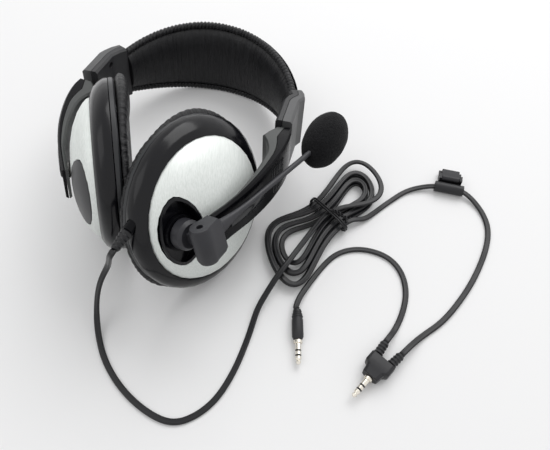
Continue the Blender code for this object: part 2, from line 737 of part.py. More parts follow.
def inlay_rings(stations, mirror):
    rings = []
    for place, out, wide, share in stations:
        if not INLAY_START <= share <= INLAY_END:
            continue
        middle = (INLAY_START + INLAY_END) / 2.0
        reach = abs(share - middle) / ((INLAY_END - INLAY_START) / 2.0)
        half = INLAY_WIDTH / 2.0 * math.sqrt(max(0.12, 1.0 - reach ** 6))
        top = GAP + INLAY_HEIGHT
        section = [(half, GAP), (half * 0.92, top * 0.7), (half * 0.6, top), (-half * 0.6, top),
                   (-half * 0.92, top * 0.7), (-half, GAP)]
        rings.append([mirror @ (place + wide * across + out * lift) for across, lift in section])
    return rings


def slider_box(sign, grow):
    """The slider strip, grown by the given clearance, with the arm pushed right in."""
    top = ARM_OUTLINE[0][1] * MM + SLIDER_ABOVE_ARM
    bottom = ARM_OUTLINE[0][1] * MM - SLIDER_IN_ARM
    left = sign * SLIDER_LINE - SLIDER_THICKNESS / 2.0 - grow
    right = sign * SLIDER_LINE + SLIDER_THICKNESS / 2.0 + grow
    half = SLIDER_WIDTH / 2.0 + grow
    return box((left, bottom - grow, -half), (right, top, half))


def pivot_station(stations):
    """The arm's station over the ball, ARM_PIVOT_FROM_TIP above its tip."""
    tip = stations[-1][0]
    index = len(stations) - 1
    while (stations[index - 1][0] - tip).length < ARM_PIVOT_FROM_TIP:
        index -= 1
    far, near = stations[index - 1], stations[index]
    reach = (near[0] - tip).length
    part = (ARM_PIVOT_FROM_TIP - reach) / ((far[0] - tip).length - reach)
    place = near[0].lerp(far[0], part)
    out = near[1].lerp(far[1], part).normalized()
    wide = near[2].lerp(far[2], part).normalized()
    return place, out, wide, near[3] + (far[3] - near[3]) * part


def build_arm(side, data, parent):
    """Builds the arm and returns the ball centre's place and axes in the headset's axes."""
    sign = data["sign"]
    mirror = Matrix.Diagonal((sign, 1.0, 1.0, 1.0))
    start = Vector((0.0, data["cap_bottom"] - data["drawn_out"], 0.0))
    axes = make_axes("arm_%s_slide" % side, Matrix.Translation(start), parent)
    stations = arm_stations(data)
    outer = add_mesh("arm_%s_outer" % side, *loft(arm_half_rings(stations, mirror, True)),
                     MATERIALS["black_plastic"], axes)
    inner = add_mesh("arm_%s_inner" % side, *loft(arm_half_rings(stations, mirror, False)),
                     MATERIALS["grey_plastic"], axes)
    add_mesh("arm_%s_inlay" % side, *loft(inlay_rings(stations, mirror)), MATERIALS["gloss_plastic"], axes)
    add_mesh("slider_%s" % side, *slider_box(sign, 0.0), MATERIALS["black_plastic"], axes, smooth=False)
    cutter = add_cutter("slider_%s_pocket" % side, *slider_box(sign, GAP), axes)
    cut(outer, cutter)
    cut(inner, cutter)

    place, out, wide, share = pivot_station(stations)
    drop = arm_depth(share) + data["clearance"] + BALL_DEPTH
    centre = mirror @ (place - out * drop)
    outward = mirror @ out
    reach = drop - arm_depth(share)
    turn = outward.to_track_quat("Z", "Y").to_matrix().to_4x4()
    turn.translation = centre
    add_ball_stud(side, turn, reach, axes)
    points, faces = cylinder(STUD_FLANGE_RADIUS + GAP, reach - CUT_OVERRUN, reach + STUD_RECESS)
    cut(inner, add_cutter("arm_%s_stud_recess" % side, moved(points, turn), faces, axes))
    return centre + start, outward


def arc(radius, start_height, end_height, steps):
    """Points (distance from the axis, height) on a sphere's side between two heights."""
    points = []
    for step in range(steps + 1):
        height = start_height + (end_height - start_height) * step / steps
        points.append((math.sqrt(radius ** 2 - height ** 2), height))
    return points


def add_ball_stud(side, turn, reach, parent):
    """Ball, neck and flange under the arm; reach is the distance from the ball to the arm."""
    top = reach + STUD_RECESS - GAP
    under = top - STUD_FLANGE_THICKNESS
    neck_start = math.sqrt(BALL_RADIUS ** 2 - NECK_RADIUS ** 2)
    profile = [(0.0, -BALL_RADIUS)] + arc(BALL_RADIUS, -BALL_RADIUS * 0.9, neck_start, 5)
    profile += [(NECK_RADIUS, under), (STUD_FLANGE_RADIUS, under), (STUD_FLANGE_RADIUS, top), (0.0, top)]
    points, faces = spin(profile, SMALL_SEGMENTS, closed=False)
    add_mesh("ball_stud_%s" % side, moved(points, turn), faces, MATERIALS["nylon"], parent)


# ---------------------------------------------------------------- cups

def dome_height(x, y):
    """Height of the plate's outer face over the rim at a point of the cup."""
    across = math.hypot((x + PLATE_SHIFT) / CUP_OVALITY, y)
    share = min(across / PLATE_RADIUS, 0.97)
    return SHELL_HEIGHT + PLATE_CROWN * (1.0 - share ** 2.4) ** 0.714


def leaf_outline(inset):
    """The leaf-shaped opening, or a piece in it, drawn in by the inset."""
    outline = []
    for step in range(LEAF_POINTS):
        angle = 2.0 * math.pi * step / LEAF_POINTS
        cosine = math.cos(angle)
        x = -LEAF_DISTANCE + (LEAF_HALF_WIDTH - inset) * cosine * abs(cosine) ** 0.25
        y = (LEAF_HALF_LENGTH - inset * 1.5) * math.sin(angle)
        outline.append((x, y))
    return outline


def plate_profile():
    """Dome of the plate, outer face down to the edge and back under it to the centre bore."""
    profile = []
    shares = [PLATE_BORE / PLATE_RADIUS, 0.4, 0.62, 0.79, 0.91, 0.97]
    for share in shares:
        profile.append((PLATE_RADIUS * share,
                        dome_height(PLATE_RADIUS * share * CUP_OVALITY - PLATE_SHIFT, 0.0), -PLATE_SHIFT))
    edge = SHELL_HEIGHT - SHELL_SEAT_DEPTH + GAP
    profile.append((PLATE_RADIUS, edge, -PLATE_SHIFT))
    profile.append((PLATE_RADIUS - PLATE_WALL, edge, -PLATE_SHIFT))
    for share in reversed(shares[:-1:2]):
        radius = PLATE_RADIUS * share
        if radius > PLATE_RADIUS - PLATE_WALL * 1.6:
            continue
        under = dome_height(radius * CUP_OVALITY - PLATE_SHIFT, 0.0) - PLATE_WALL
        profile.append((radius, under, -PLATE_SHIFT))
    return profile


def shell_floor():
    """Height of the floor that the plate's edge and the ball's seat stand on."""
    return SHELL_HEIGHT - SHELL_SEAT_DEPTH


def shell_profile():
    """Outer shell: a bowl whose floor carries the plate and the ball's seat."""
    floor = shell_floor()
    seat = PLATE_RADIUS + GAP

    def shift(height):
        return -PLATE_SHIFT * height / SHELL_HEIGHT

    rows = []
    for inset, share in SHELL_SIDE:
        rows.append((RIM_RADIUS - inset, SHELL_HEIGHT * share, shift(SHELL_HEIGHT * share)))
    rows += [(seat + SHELL_LIP, SHELL_HEIGHT, -PLATE_SHIFT), (seat, SHELL_HEIGHT, -PLATE_SHIFT)]
    rows += [(seat, floor, -PLATE_SHIFT), (SHELL_FLOOR_BORE, floor, -PLATE_SHIFT)]
    under = floor - SHELL_WALL
    rows += [(SHELL_FLOOR_BORE, under, -PLATE_SHIFT), (seat - SHELL_WALL, under, shift(under))]
    inner = RIM_RADIUS - SHELL_WALL
    bend = under * 0.6
    rows += [(inner - SHELL_WALL * 1.3, bend, shift(bend)), (inner, bend * 0.6, shift(bend * 0.6)),
             (inner, 0.0)]
    return rows


def ear_pad_rings():
    """Rings round the pad's section; every other segment of its outer side is drawn in."""
    segments = 2 * EAR_PAD_PLEATS
    top = -SEAM_RING_HEIGHT - 2.0 * GAP
    wide = EAR_PAD_OUTER - EAR_PAD_INNER
    shape = [
        (0.96, 0.0, 0.0), (1.0, 0.25, 0.6), (0.97, 0.6, 1.0), (0.84, 0.88, 0.7),
        (0.6, 1.0, 0.3), (0.34, 0.97, 0.3), (0.1, 0.76, 0.6), (0.0, 0.42, 0.6), (0.06, 0.0, 0.0),
    ]
    section = [(EAR_PAD_INNER + wide * out, top - EAR_PAD_HEIGHT * deep, pleat)
               for out, deep, pleat in shape]
    rings = []
    for step in range(segments):
        angle = 2.0 * math.pi * step / segments
        depth = EAR_PAD_PLEAT_DEPTH if step % 2 else -EAR_PAD_PLEAT_DEPTH
        ring = []
        for radius, height, share in section:
            reach = radius - depth * share
            ring.append(Vector((reach * CUP_OVALITY * math.cos(angle), reach * math.sin(angle), height)))
        rings.append(ring)
    return rings


def cup_matrix(data, ball_centre):
    """Axes of a cup in the headset's axes, placed so that its seat holds the ball."""
    sign = data["sign"]
    lean = math.radians(data["lean"])
    sweep = math.radians(data["sweep"])
    outward = Vector((sign * math.cos(sweep) * math.cos(lean), -math.cos(sweep) * math.sin(lean),
                      math.sin(sweep)))
    up = Vector((0.0, 1.0, 0.0))
    up = (up - outward * up.dot(outward)).normalized()
    up = Matrix.Rotation(math.radians(data["roll"]), 3, outward) @ up
    matrix = frame_matrix(up, outward.cross(up), outward, Vector())
    ball_in_cup = Vector((-PLATE_SHIFT, 0.0, ball_height()))
    matrix.translation = ball_centre - matrix.to_3x3() @ ball_in_cup
    return matrix


def ball_height():
    return SHELL_HEIGHT + PLATE_CROWN - BALL_DEPTH


def build_cup_shells(side, axes):
    shell = add_mesh("shell_%s" % side, *spin(shell_profile(), ovality=CUP_OVALITY),
                     MATERIALS["gloss_plastic"], axes)
    plate = add_mesh("plate_%s" % side, *spin(plate_profile(), ovality=CUP_OVALITY),
                     MATERIALS["silver_plate"], axes)
    low = shell_floor()
    high = SHELL_HEIGHT + PLATE_CROWN * 1.5
    rings = [[Vector((x, y, z)) for x, y in leaf_outline(0.0)] for z in (low, high)]
    cut(plate, add_cutter("plate_%s_leaf_opening" % side, *loft(rings), axes))
    ring_low = -GAP - SEAM_RING_HEIGHT
    ring_inner = RIM_RADIUS - SEAM_RING_WIDTH
    profile = [(ring_inner, -GAP), (ring_inner, ring_low), (RIM_RADIUS - SEAM_RING_BEVEL, ring_low),
               (RIM_RADIUS, ring_low + SEAM_RING_BEVEL), (RIM_RADIUS, -GAP)]
    add_mesh("seam_ring_%s" % side, *spin(profile, ovality=CUP_OVALITY), MATERIALS["dark_grey_plastic"],
             axes)
    baffle_top = -GAP
    radius = ring_inner - GAP
    profile = [(0.0, baffle_top), (radius, baffle_top), (radius, baffle_top - BAFFLE_THICKNESS),
               (0.0, baffle_top - BAFFLE_THICKNESS)]
    add_mesh("baffle_%s" % side, *spin(profile, ovality=CUP_OVALITY, closed=False),
             MATERIALS["black_plastic"], axes)
    profile = [(0.0, 0.0), (DRIVER_RADIUS, 0.0), (DRIVER_RADIUS, DRIVER_HEIGHT * 0.35),
               (MAGNET_RADIUS, DRIVER_HEIGHT * 0.6),
               (MAGNET_RADIUS, DRIVER_HEIGHT), (0.0, DRIVER_HEIGHT)]
    add_mesh("driver_%s" % side, *spin(profile, ROUND_SEGMENTS, closed=False), MATERIALS["spring_steel"],
             axes)
    add_mesh("ear_pad_%s" % side, *loft(ear_pad_rings(), closed=True), MATERIALS["leatherette"], axes)
    return shell


def build_ball_seat(side, cup_axes, pivot_axes):
    bush = arc(BALL_RADIUS + GAP, -BUSH_HALF_HEIGHT, BUSH_HALF_HEIGHT, 4)
    bush += arc(BUSH_RADIUS, BUSH_HALF_HEIGHT, -BUSH_HALF_HEIGHT, 4)
    add_mesh("ball_bush_%s" % side, *spin(bush, SMALL_SEGMENTS), MATERIALS["nylon"], pivot_axes)
    half = SEAT_HALF_HEIGHT
    foot = shell_floor() + GAP - ball_height()
    seat = arc(BUSH_RADIUS + GAP, -half, half, 4)
    seat += [(SEAT_RADIUS, half), (SEAT_RADIUS, foot + SEAT_FLANGE_HEIGHT),
             (SEAT_FLANGE_RADIUS, foot + SEAT_FLANGE_HEIGHT),
             (SEAT_FLANGE_RADIUS, foot), (seat[0][0], foot)]
    points, faces = spin(seat, SMALL_SEGMENTS)
    place = Matrix.Translation((-PLATE_SHIFT, 0.0, ball_height()))
    add_mesh("ball_seat_%s" % side, moved(points, place), faces, MATERIALS["black_plastic"], cup_axes)


def leaf_solid(inset, top, bottom, shares):
    """Closed leaf-shaped piece with the given top and bottom heights over shares of its outline."""
    points = []
    faces = []
    outline = leaf_outline(inset)
    count = len(outline)
    for surface in (top, bottom):
        for share in shares:
            for x, y in outline:
                across = -LEAF_DISTANCE + (x + LEAF_DISTANCE) * share
                points.append(Vector((across, y * share, surface(across, y * share, share))))
    rows = len(shares)
    for layer in range(2):
        base = layer * rows * count
        for row in range(rows - 1):
            for step in range(count):
                ahead = (step + 1) % count
                here = base + row * count
                there = here + count
                faces.append((here + step, here + ahead, there + ahead, there + step))
        faces.append(tuple(range(base, base + count)))
    for step in range(count):
        ahead = (step + 1) % count
        edge = (rows - 1) * count
        faces.append((edge + step, edge + ahead, edge + ahead + rows * count, edge + step + rows * count))
    return points, faces


def build_blank_cap(axes):
    def top(x, y, share):
        return dome_height(x, y) + BLANK_RAISE * math.sqrt(1.0 - 0.9 * share ** 2)

    def bottom(x, y, share):
        return dome_height(x, y) - BLANK_THICKNESS

    points, faces = leaf_solid(GAP, top, bottom, (0.35, 0.7, 0.92, 1.0))
    add_mesh("leaf_blank", points, faces, MATERIALS["dark_grey_plastic"], axes)


def build_tray(axes):
    """Leaf-shaped tray: its wall follows the dome, its floor is flat and carries the disc."""
    outer = leaf_outline(GAP)
    inner = leaf_outline(GAP + TRAY_WALL)
    base = TRAY_FLOOR - TRAY_WALL
    rings = [
        [Vector((x, y, base)) for x, y in outer],
        [Vector((x, y, max(dome_height(x, y), TRAY_FLOOR))) for x, y in outer],
        [Vector((x, y, max(dome_height(x, y), TRAY_FLOOR + GAP))) for x, y in inner],
        [Vector((x, y, TRAY_FLOOR)) for x, y in inner],
    ]
    add_mesh("mic_tray", *loft(rings), MATERIALS["gloss_plastic"], axes)


# ---------------------------------------------------------------- microphone

def build_microphone(axes):
    """Base disc on the cup; the drum swivels on its pin, and the elbow tilts on the drum."""
    spot = Vector((-LEAF_DISTANCE, 0.0, 0.0))
    floor = TRAY_FLOOR + GAP
    disc_top = floor + MIC_DISC_HEIGHT
    pin_top = MIC_DRUM_TOP - MIC_BORE_ROOF - MIC_PIN_END_GAP
    place = Matrix.Translation(spot)
    profile = [(0.0, floor), (MIC_DISC_RADIUS, floor), (MIC_DISC_RADIUS, disc_top),
               (MIC_PIN_RADIUS, disc_top),
               (MIC_PIN_RADIUS, pin_top), (0.0, pin_top)]
    points, faces = spin(profile, ROUND_SEGMENTS, closed=False)
    add_mesh("mic_disc", moved(points, place), faces, MATERIALS["black_plastic"], axes)

    swivel = make_axes("boom_swivel", Matrix.Translation(spot) @ Matrix.Rotation(BOOM_ANGLE, 4, "Z"), axes)
    build_drum(swivel, disc_top + GAP)
    tilt = make_axes("boom_tilt", Matrix.Translation((0.0, 0.0, ELBOW_HEIGHT)), swivel)
    build_elbow(tilt)
    build_boom(tilt)


def across_cylinder(radius, width, segments=24):
    """A cylinder along Y, centred on the origin."""
    points, faces = cylinder(radius, -width / 2.0, width / 2.0, segments)
    return moved(points, Matrix.Rotation(math.radians(90.0), 4, "X")), faces


def build_drum(axes, bottom):
    """Round drum with a knuckle on top, in one piece, and the elbow's pin through it."""
    bore = MIC_PIN_RADIUS + GAP
    bore_top = MIC_DRUM_TOP - MIC_BORE_ROOF
    profile = [(0.0, bore_top), (bore, bore_top), (bore, bottom), (MIC_DRUM_RADIUS, bottom),
               (MIC_DRUM_RADIUS, MIC_DRUM_TOP - MIC_DRUM_BEVEL),
               (MIC_DRUM_RADIUS - MIC_DRUM_BEVEL, MIC_DRUM_TOP),
               (0.0, MIC_DRUM_TOP)]
    drum = add_mesh("mic_drum", *spin(profile, ROUND_SEGMENTS, closed=False), MATERIALS["black_plastic"],
                    axes)
    half = KNUCKLE_WIDTH / 2.0
    neck = KNUCKLE_RADIUS * KNUCKLE_NECK
    points, faces = box((-neck, -half, MIC_DRUM_TOP - MIC_DRUM_BEVEL), (neck, half, ELBOW_HEIGHT))
    joint = add_cutter("drum_neck", points, faces, axes)
    points, faces = across_cylinder(KNUCKLE_RADIUS, KNUCKLE_WIDTH, ROUND_SEGMENTS)
    round_end = add_cutter("drum_knuckle", moved(points, Matrix.Translation((0.0, 0.0, ELBOW_HEIGHT))),
                           faces, axes)
    for extra in (joint, round_end):
        union = drum.modifiers.new("join_" + extra.name, "BOOLEAN")
        union.operation = "UNION"
        union.solver = "EXACT"
        union.object = extra
    points, faces = across_cylinder(ELBOW_PIN_RADIUS + GAP, ELBOW_WIDTH * 1.3, SMALL_SEGMENTS)
    cut(drum, add_cutter("drum_pin_bore", moved(points, Matrix.Translation((0.0, 0.0, ELBOW_HEIGHT))),
                         faces, axes))
    points, faces = across_cylinder(ELBOW_PIN_RADIUS, ELBOW_WIDTH - 2.0 * ELBOW_PIN_INSET, SMALL_SEGMENTS)
    place = Matrix.Translation((0.0, ELBOW_SHIFT, ELBOW_HEIGHT))
    add_mesh("elbow_pin", moved(points, place), faces, MATERIALS["screw_steel"], axes)


def build_elbow(axes):
    """Rounded block that wraps the knuckle and carries the boom; its axes sit on the pin."""
    nose = ELBOW_NOSE_HEIGHT / 2.0
    outline = []
    for step in range(15):
        angle = math.radians(62.0 + (298.0 - 62.0) * step / 14)
        outline.append((ELBOW_RADIUS * math.cos(angle), ELBOW_RADIUS * math.sin(angle)))
    outline += [(ELBOW_REACH, -nose), (ELBOW_REACH, nose)]
    rings = []
    side = ELBOW_WIDTH / 2.0
    flank = side - ELBOW_SIDE_DEPTH
    for across, share in ((-side, ELBOW_SIDE_TAPER), (-flank, 1.0), (flank, 1.0), (side, ELBOW_SIDE_TAPER)):
        rings.append([Vector((x * share, across + ELBOW_SHIFT, z * share)) for x, z in outline])
    elbow = add_mesh("boom_elbow", *loft(rings), MATERIALS["black_plastic"], axes)
    slot = KNUCKLE_WIDTH / 2.0 + GAP
    room = KNUCKLE_RADIUS + GAP
    below = -ELBOW_RADIUS - CUT_OVERRUN
    outline = [(room * math.cos(math.pi * step / 10), room * math.sin(math.pi * step / 10))
               for step in range(11)]
    outline += [(-room * 1.5, below), (room * 1.15, below)]
    rings = [[Vector((x, across, z)) for x, z in outline] for across in (-slot, slot)]
    cut(elbow, add_cutter("elbow_knuckle_slot", *loft(rings), axes))
    points, faces = across_cylinder(ELBOW_PIN_RADIUS + GAP, ELBOW_WIDTH * 1.3, SMALL_SEGMENTS)
    cut(elbow, add_cutter("elbow_pin_bore", points, faces, axes))


def along_x(points):
    """Turn a solid that was spun about Z so that its axis lies along X."""
    return moved(points, Matrix.Rotation(math.radians(90.0), 4, "Y"))


def build_boom(axes):
    start = ELBOW_REACH + GAP
    end = WINDSCREEN_CENTRE - CAPSULE_LENGTH / 2.0 - GAP
    profile = [(0.0, start), (BOOM_ROOT_RADIUS, start)]
    for share in (0.25, 0.5, 0.75, 1.0):
        ease = 1.0 - (1.0 - share) ** 1.8
        radius = BOOM_ROOT_RADIUS + (BOOM_ROD_RADIUS - BOOM_ROOT_RADIUS) * ease
        profile.append((radius, start + (BOOM_TAPER_END - start) * share))
    profile += [(BOOM_ROD_RADIUS, end), (0.0, end)]
    points, faces = spin(profile, 16, closed=False)
    flat = []
    for point in along_x(points):
        share = min(1.0, (point.x - start) / (BOOM_TAPER_END - start))
        thick = BOOM_FLATTENING + (1.0 - BOOM_FLATTENING) * share
        flat.append(Vector((point.x, point.y, point.z * thick)))
    add_mesh("boom", flat, faces, MATERIALS["black_plastic"], axes)

    points, faces = cylinder(CAPSULE_RADIUS, end + GAP, end + GAP + CAPSULE_LENGTH, SMALL_SEGMENTS)
    add_mesh("mic_capsule", along_x(points), faces, MATERIALS["dark_grey_plastic"], axes)

    rows = 10
    profile = [(0.0, -WINDSCREEN_HALF_LENGTH)]
    for row in range(1, rows):
        angle = math.pi * row / rows
        profile.append((WINDSCREEN_RADIUS * math.sin(angle), -WINDSCREEN_HALF_LENGTH * math.cos(angle)))
    profile.append((0.0, WINDSCREEN_HALF_LENGTH))
    points, faces = spin(profile, 20, closed=False)
    lean = Matrix.Translation((WINDSCREEN_CENTRE, 0.0, 0.0)) @ Matrix.Rotation(WINDSCREEN_LEAN, 4, "Z")
    screen = add_mesh("windscreen", moved(along_x(points), lean), faces, MATERIALS["foam"], axes)
    points, faces = cylinder(CAPSULE_RADIUS + GAP, end - GAP, end + 2.0 * GAP + CAPSULE_LENGTH,
                             SMALL_SEGMENTS)
    cut(screen, add_cutter("windscreen_pocket", along_x(points), faces, axes))
    points, faces = cylinder(BOOM_ROD_RADIUS + GAP, end - WINDSCREEN_HALF_LENGTH * 1.5, end + GAP,
                             SMALL_SEGMENTS)
    cut(screen, add_cutter("windscreen_bore", along_x(points), faces, axes))


# ---------------------------------------------------------------- cord exit

def gland_matrix():
    """Axes of the gland in the cup's axes: Z runs outwards through it, drooping with the cord."""
    out = Vector((-math.cos(GLAND_DROOP), -math.sin(GLAND_DROOP), 0.0))
    up = Vector((0.0, 0.0, 1.0))
    reach = RIM_RADIUS + GLAND_STAND_OUT
    place = Vector((-reach * math.cos(GLAND_TURN), reach * math.sin(GLAND_TURN), GLAND_HEIGHT))
    return frame_matrix(up.cross(out), out.cross(up.cross(out)), out, place)


def build_gland(shell, axes):
    """Gland through the shell's wall with a ribbed relief on it; returns the relief's tip."""
    turn = gland_matrix()
    inside = -GLAND_INSET - GLAND_STAND_OUT
    points, faces = cylinder(GLAND_RADIUS + GAP, inside - CUT_OVERRUN, CUT_OVERRUN, SMALL_SEGMENTS)
    cut(shell, add_cutter("shell_gland_hole", moved(points, turn), faces, axes))
    points, faces = cylinder(GLAND_RADIUS, inside, 0.0, SMALL_SEGMENTS)
    add_mesh("cord_gland", moved(points, turn), faces, MATERIALS["black_plastic"], axes)
    profile = ribbed_profile(GAP, RELIEF_LENGTH, RELIEF_RIBS, RELIEF_ROOT_RADIUS, RELIEF_TIP_RADIUS)
    points, faces = spin(profile, 12, closed=False)
    add_mesh("strain_relief", moved(points, turn), faces, MATERIALS["cord_jacket"], axes)
    tip = turn @ Vector((0.0, 0.0, 2.0 * GAP + RELIEF_LENGTH))
    ahead = turn @ Vector((0.0, 0.0, 2.0 * GAP + RELIEF_LENGTH + 2.0 * CORD_DIAMETER))
    return tip, ahead


# ---------------------------------------------------------------- cords

def route_points(start, route, end):
    """A smooth cord: start and end are pairs of points that fix its direction there."""
    knots = list(start) + [Vector(point) * MM for point in route] + list(end)
    dense = smooth_curve(knots)
    count = max(8, int(line_length(dense) / CORD_STEP) + 1)
    points = even_points(dense, count)
    for point in points:
        point.z = max(point.z, CORD_DIAMETER / 2.0 + CORD_TO_TABLE)
    leave = (start[1] - start[0]).normalized() * CORD_DIAMETER
    arrive = (end[1] - end[0]).normalized() * CORD_DIAMETER
    points[:1] = [start[0], start[0] + leave]
    points[-1:] = [end[1] - arrive, end[1]]
    return points, line_length(dense)


def hank_frame():
    turn = Matrix.Rotation(HANK_TURN, 4, "Z")
    turn.translation = Vector((HANK_CENTRE[0] * MM, HANK_CENTRE[1] * MM, 0.0))
    return turn


def hank_point(angle, depth, height):
    """A point of the hank's loops, drawn in by depth loops, in the hank's own axes."""
    cosine = math.cos(angle)
    sine = math.sin(angle)
    right = (1.0 + math.tanh(3.0 * cosine)) / 2.0

    def mixed(left_value, right_value):
        return left_value + (right_value - left_value) * right

    length = mixed(HANK_LEFT_LENGTH, HANK_RIGHT_LENGTH) - depth * HANK_END_STEP
    lobe = mixed(HANK_LEFT_HALF_WIDTH, HANK_RIGHT_HALF_WIDTH)
    lobe -= depth * mixed(HANK_LEFT_STEP, HANK_RIGHT_STEP)
    waist = HANK_WAIST_HALF_WIDTH - depth * HANK_WAIST_STEP
    across = sine * (waist + 2.0 * (math.sqrt(2.0) * lobe - waist) * cosine * cosine)
    along = length * cosine + mixed(HANK_LEFT_SLANT, HANK_RIGHT_SLANT) * across
    return Vector((along, across, height))


def eased(value):
    share = min(1.0, max(0.0, value))
    return share * share * (3.0 - 2.0 * share)


def hank_points():
    """One unbroken tube that spirals in over the lower layer, climbs, and spirals out again.

    It starts on top of the waist, drops to the lower layer round the right lobe's end, and
    leaves at the waist's lower side. Depth counts loops inwards from the outermost one.
    """
    low = CORD_DIAMETER / 2.0 + HANK_LIFT
    high = low + HANK_LAYER_RISE
    over = high + HANK_LAYER_RISE
    points = []
    for step in range(HANK_TURNS * HANK_POINTS_PER_LOOP + 2):
        turns = step / HANK_POINTS_PER_LOOP
        depth = min(turns, 2.0 * HANK_REVERSE - turns) - 0.25
        height = low + (high - low) * eased((turns - HANK_REVERSE) / 0.5 + 0.5)
        if turns < 0.75:
            depth = 2.6 + (HANK_START_DEPTH - 2.6) * eased(turns / 0.22)
            depth += (0.5 - HANK_START_DEPTH) * eased((turns - 0.42) / 0.33)
            height = over + (low - over) * eased((turns - 0.17) / 0.4)
        points.append(hank_point(math.radians(270.0) + 2.0 * math.pi * turns, depth, height))
    ahead = (points[1] - points[0]).normalized()
    points.insert(0, points[0] - ahead * CORD_DIAMETER)
    ahead = (points[-1] - points[-2]).normalized()
    points.append(points[-1] + ahead * CORD_DIAMETER)
    return points


def least_self_gap(points, diameter, skip):
    """Smallest distance between two stretches of a tube, less its diameter."""
    dense = []
    for index in range(len(points) - 1):
        for part in range(3):
            dense.append(points[index].lerp(points[index + 1], part / 3.0))
    least = 1.0
    for index, point in enumerate(dense):
        for other in range(index + 3 * skip, len(dense)):
            least = min(least, (point - dense[other]).length)
    return least - diameter


def build_hank(parent):
    frame = hank_frame()
    points = hank_points()
    print("hank: least gap to itself %.2f mm" % (least_self_gap(points, CORD_DIAMETER, 5) / MM))
    world = [frame @ point for point in points]
    print("hank: cord length %.0f mm" % (line_length(world) / MM))
    add_tube("cord_hank", world, CORD_DIAMETER, MATERIALS["cord_jacket"], parent, resolution=1)
    build_tie(frame, points, parent)
    return world


def build_tie(frame, strands, parent):
    """Twist tie: a closed band round the waist, under and over all the strands."""
    widest = 0.0
    for index in range(len(strands) - 1):
        for share in (0.0, 0.25, 0.5, 0.75):
            point = strands[index].lerp(strands[index + 1], share)
            if abs(point.x) < TIE_WIDTH / 2.0 + CORD_DIAMETER:
                widest = max(widest, abs(point.y))
    half = widest + CORD_DIAMETER / 2.0 + GAP
    low = HANK_LIFT - GAP
    high = HANK_LIFT + CORD_DIAMETER + 2.0 * HANK_LAYER_RISE + GAP
    middle = (low + high) / 2.0
    reach = (high - low) / 2.0
    rings = []
    for step in range(28):
        angle = 2.0 * math.pi * step / 28
        cosine = math.cos(angle)
        sine = math.sin(angle)
        y = math.copysign(abs(cosine) ** 0.25, cosine)
        z = math.copysign(abs(sine) ** 0.25, sine)
        ring = []
        for across, grow in ((-0.5, 0.0), (0.5, 0.0), (0.5, 1.0), (-0.5, 1.0)):
            thick = TIE_THICKNESS * grow
            ring.append(frame @ Vector((across * TIE_WIDTH, y * (half + thick),
                                        middle + z * (reach + thick))))
        rings.append(ring)
    add_mesh("twist_tie", *loft(rings, closed=True), MATERIALS["black_plastic"], parent)


# ---------------------------------------------------------------- clip

def build_clip(parent):
    """Sleeve on the cord with a fixed lower jaw, and a sprung upper jaw on a pin."""
    frame = Matrix.Translation(CLIP_PLACE) @ Matrix.Rotation(CLIP_TURN, 4, "Z")
    axes = make_axes("clip_axes", frame, parent)
    half = CLIP_LENGTH / 2.0
    ring = [(CLIP_SLEEVE_BORE, -half), (CLIP_SLEEVE_RADIUS, -half), (CLIP_SLEEVE_RADIUS, half),
            (CLIP_SLEEVE_BORE, half)]
    points, faces = spin(ring, 16)
    sleeve = add_mesh("clip_sleeve", along_x(points), faces, MATERIALS["black_plastic"], axes)
    jaw_half = half * 0.8
    low = -CLIP_SLEEVE_RADIUS * 0.55
    rear = CLIP_SLEEVE_BORE + CLIP_JAW_ROOT
    front = rear + CLIP_JAW_REACH
    points, faces = box((-jaw_half, rear, low), (jaw_half, front, low + CLIP_JAW_THICKNESS))
    union = sleeve.modifiers.new("join_lower_jaw", "BOOLEAN")
    union.operation = "UNION"
    union.solver = "EXACT"
    union.object = add_cutter("clip_lower_jaw", points, faces, axes)

    jaw_low = low + CLIP_JAW_THICKNESS + CLIP_MOUTH
    hinge_y = CLIP_SLEEVE_RADIUS + GAP + CLIP_HINGE_OUT
    hinge_z = jaw_low + CLIP_HINGE_RISE
    hinge = make_axes("clip_jaw_hinge", Matrix.Translation((0.0, hinge_y, hinge_z)), axes)
    knuckle = CLIP_PIN_RADIUS + GAP + CLIP_KNUCKLE_WALL
    outline = []
    for step in range(9):
        angle = math.radians(100.0 + (260.0 - 100.0) * step / 8)
        outline.append((knuckle * math.cos(angle), knuckle * math.sin(angle)))
    tip = front - hinge_y
    jaw_side = jaw_half - CLIP_EAR_WIDTH - GAP
    outline += [(tip, -knuckle), (tip, -knuckle + CLIP_JAW_THICKNESS),
                (knuckle * 1.4, -knuckle + CLIP_JAW_THICKNESS * 1.4)]
    rings = [[Vector((x, y, z)) for y, z in outline] for x in (-jaw_side, jaw_side)]
    jaw = add_mesh("clip_jaw", *loft(rings), MATERIALS["black_plastic"], hinge)
    points, faces = cylinder(CLIP_PIN_RADIUS + GAP, -half, half, 16)
    cut(jaw, add_cutter("clip_jaw_bore", along_x(points), faces, hinge))
    add_clip_ears(sleeve, jaw_half, hinge_y, hinge_z, low, knuckle, axes)
    points, faces = cylinder(CLIP_PIN_RADIUS, -jaw_half, jaw_half, 16)
    place = Matrix.Translation((0.0, hinge_y, hinge_z))
    add_mesh("clip_pin", moved(along_x(points), place), faces, MATERIALS["screw_steel"], axes)


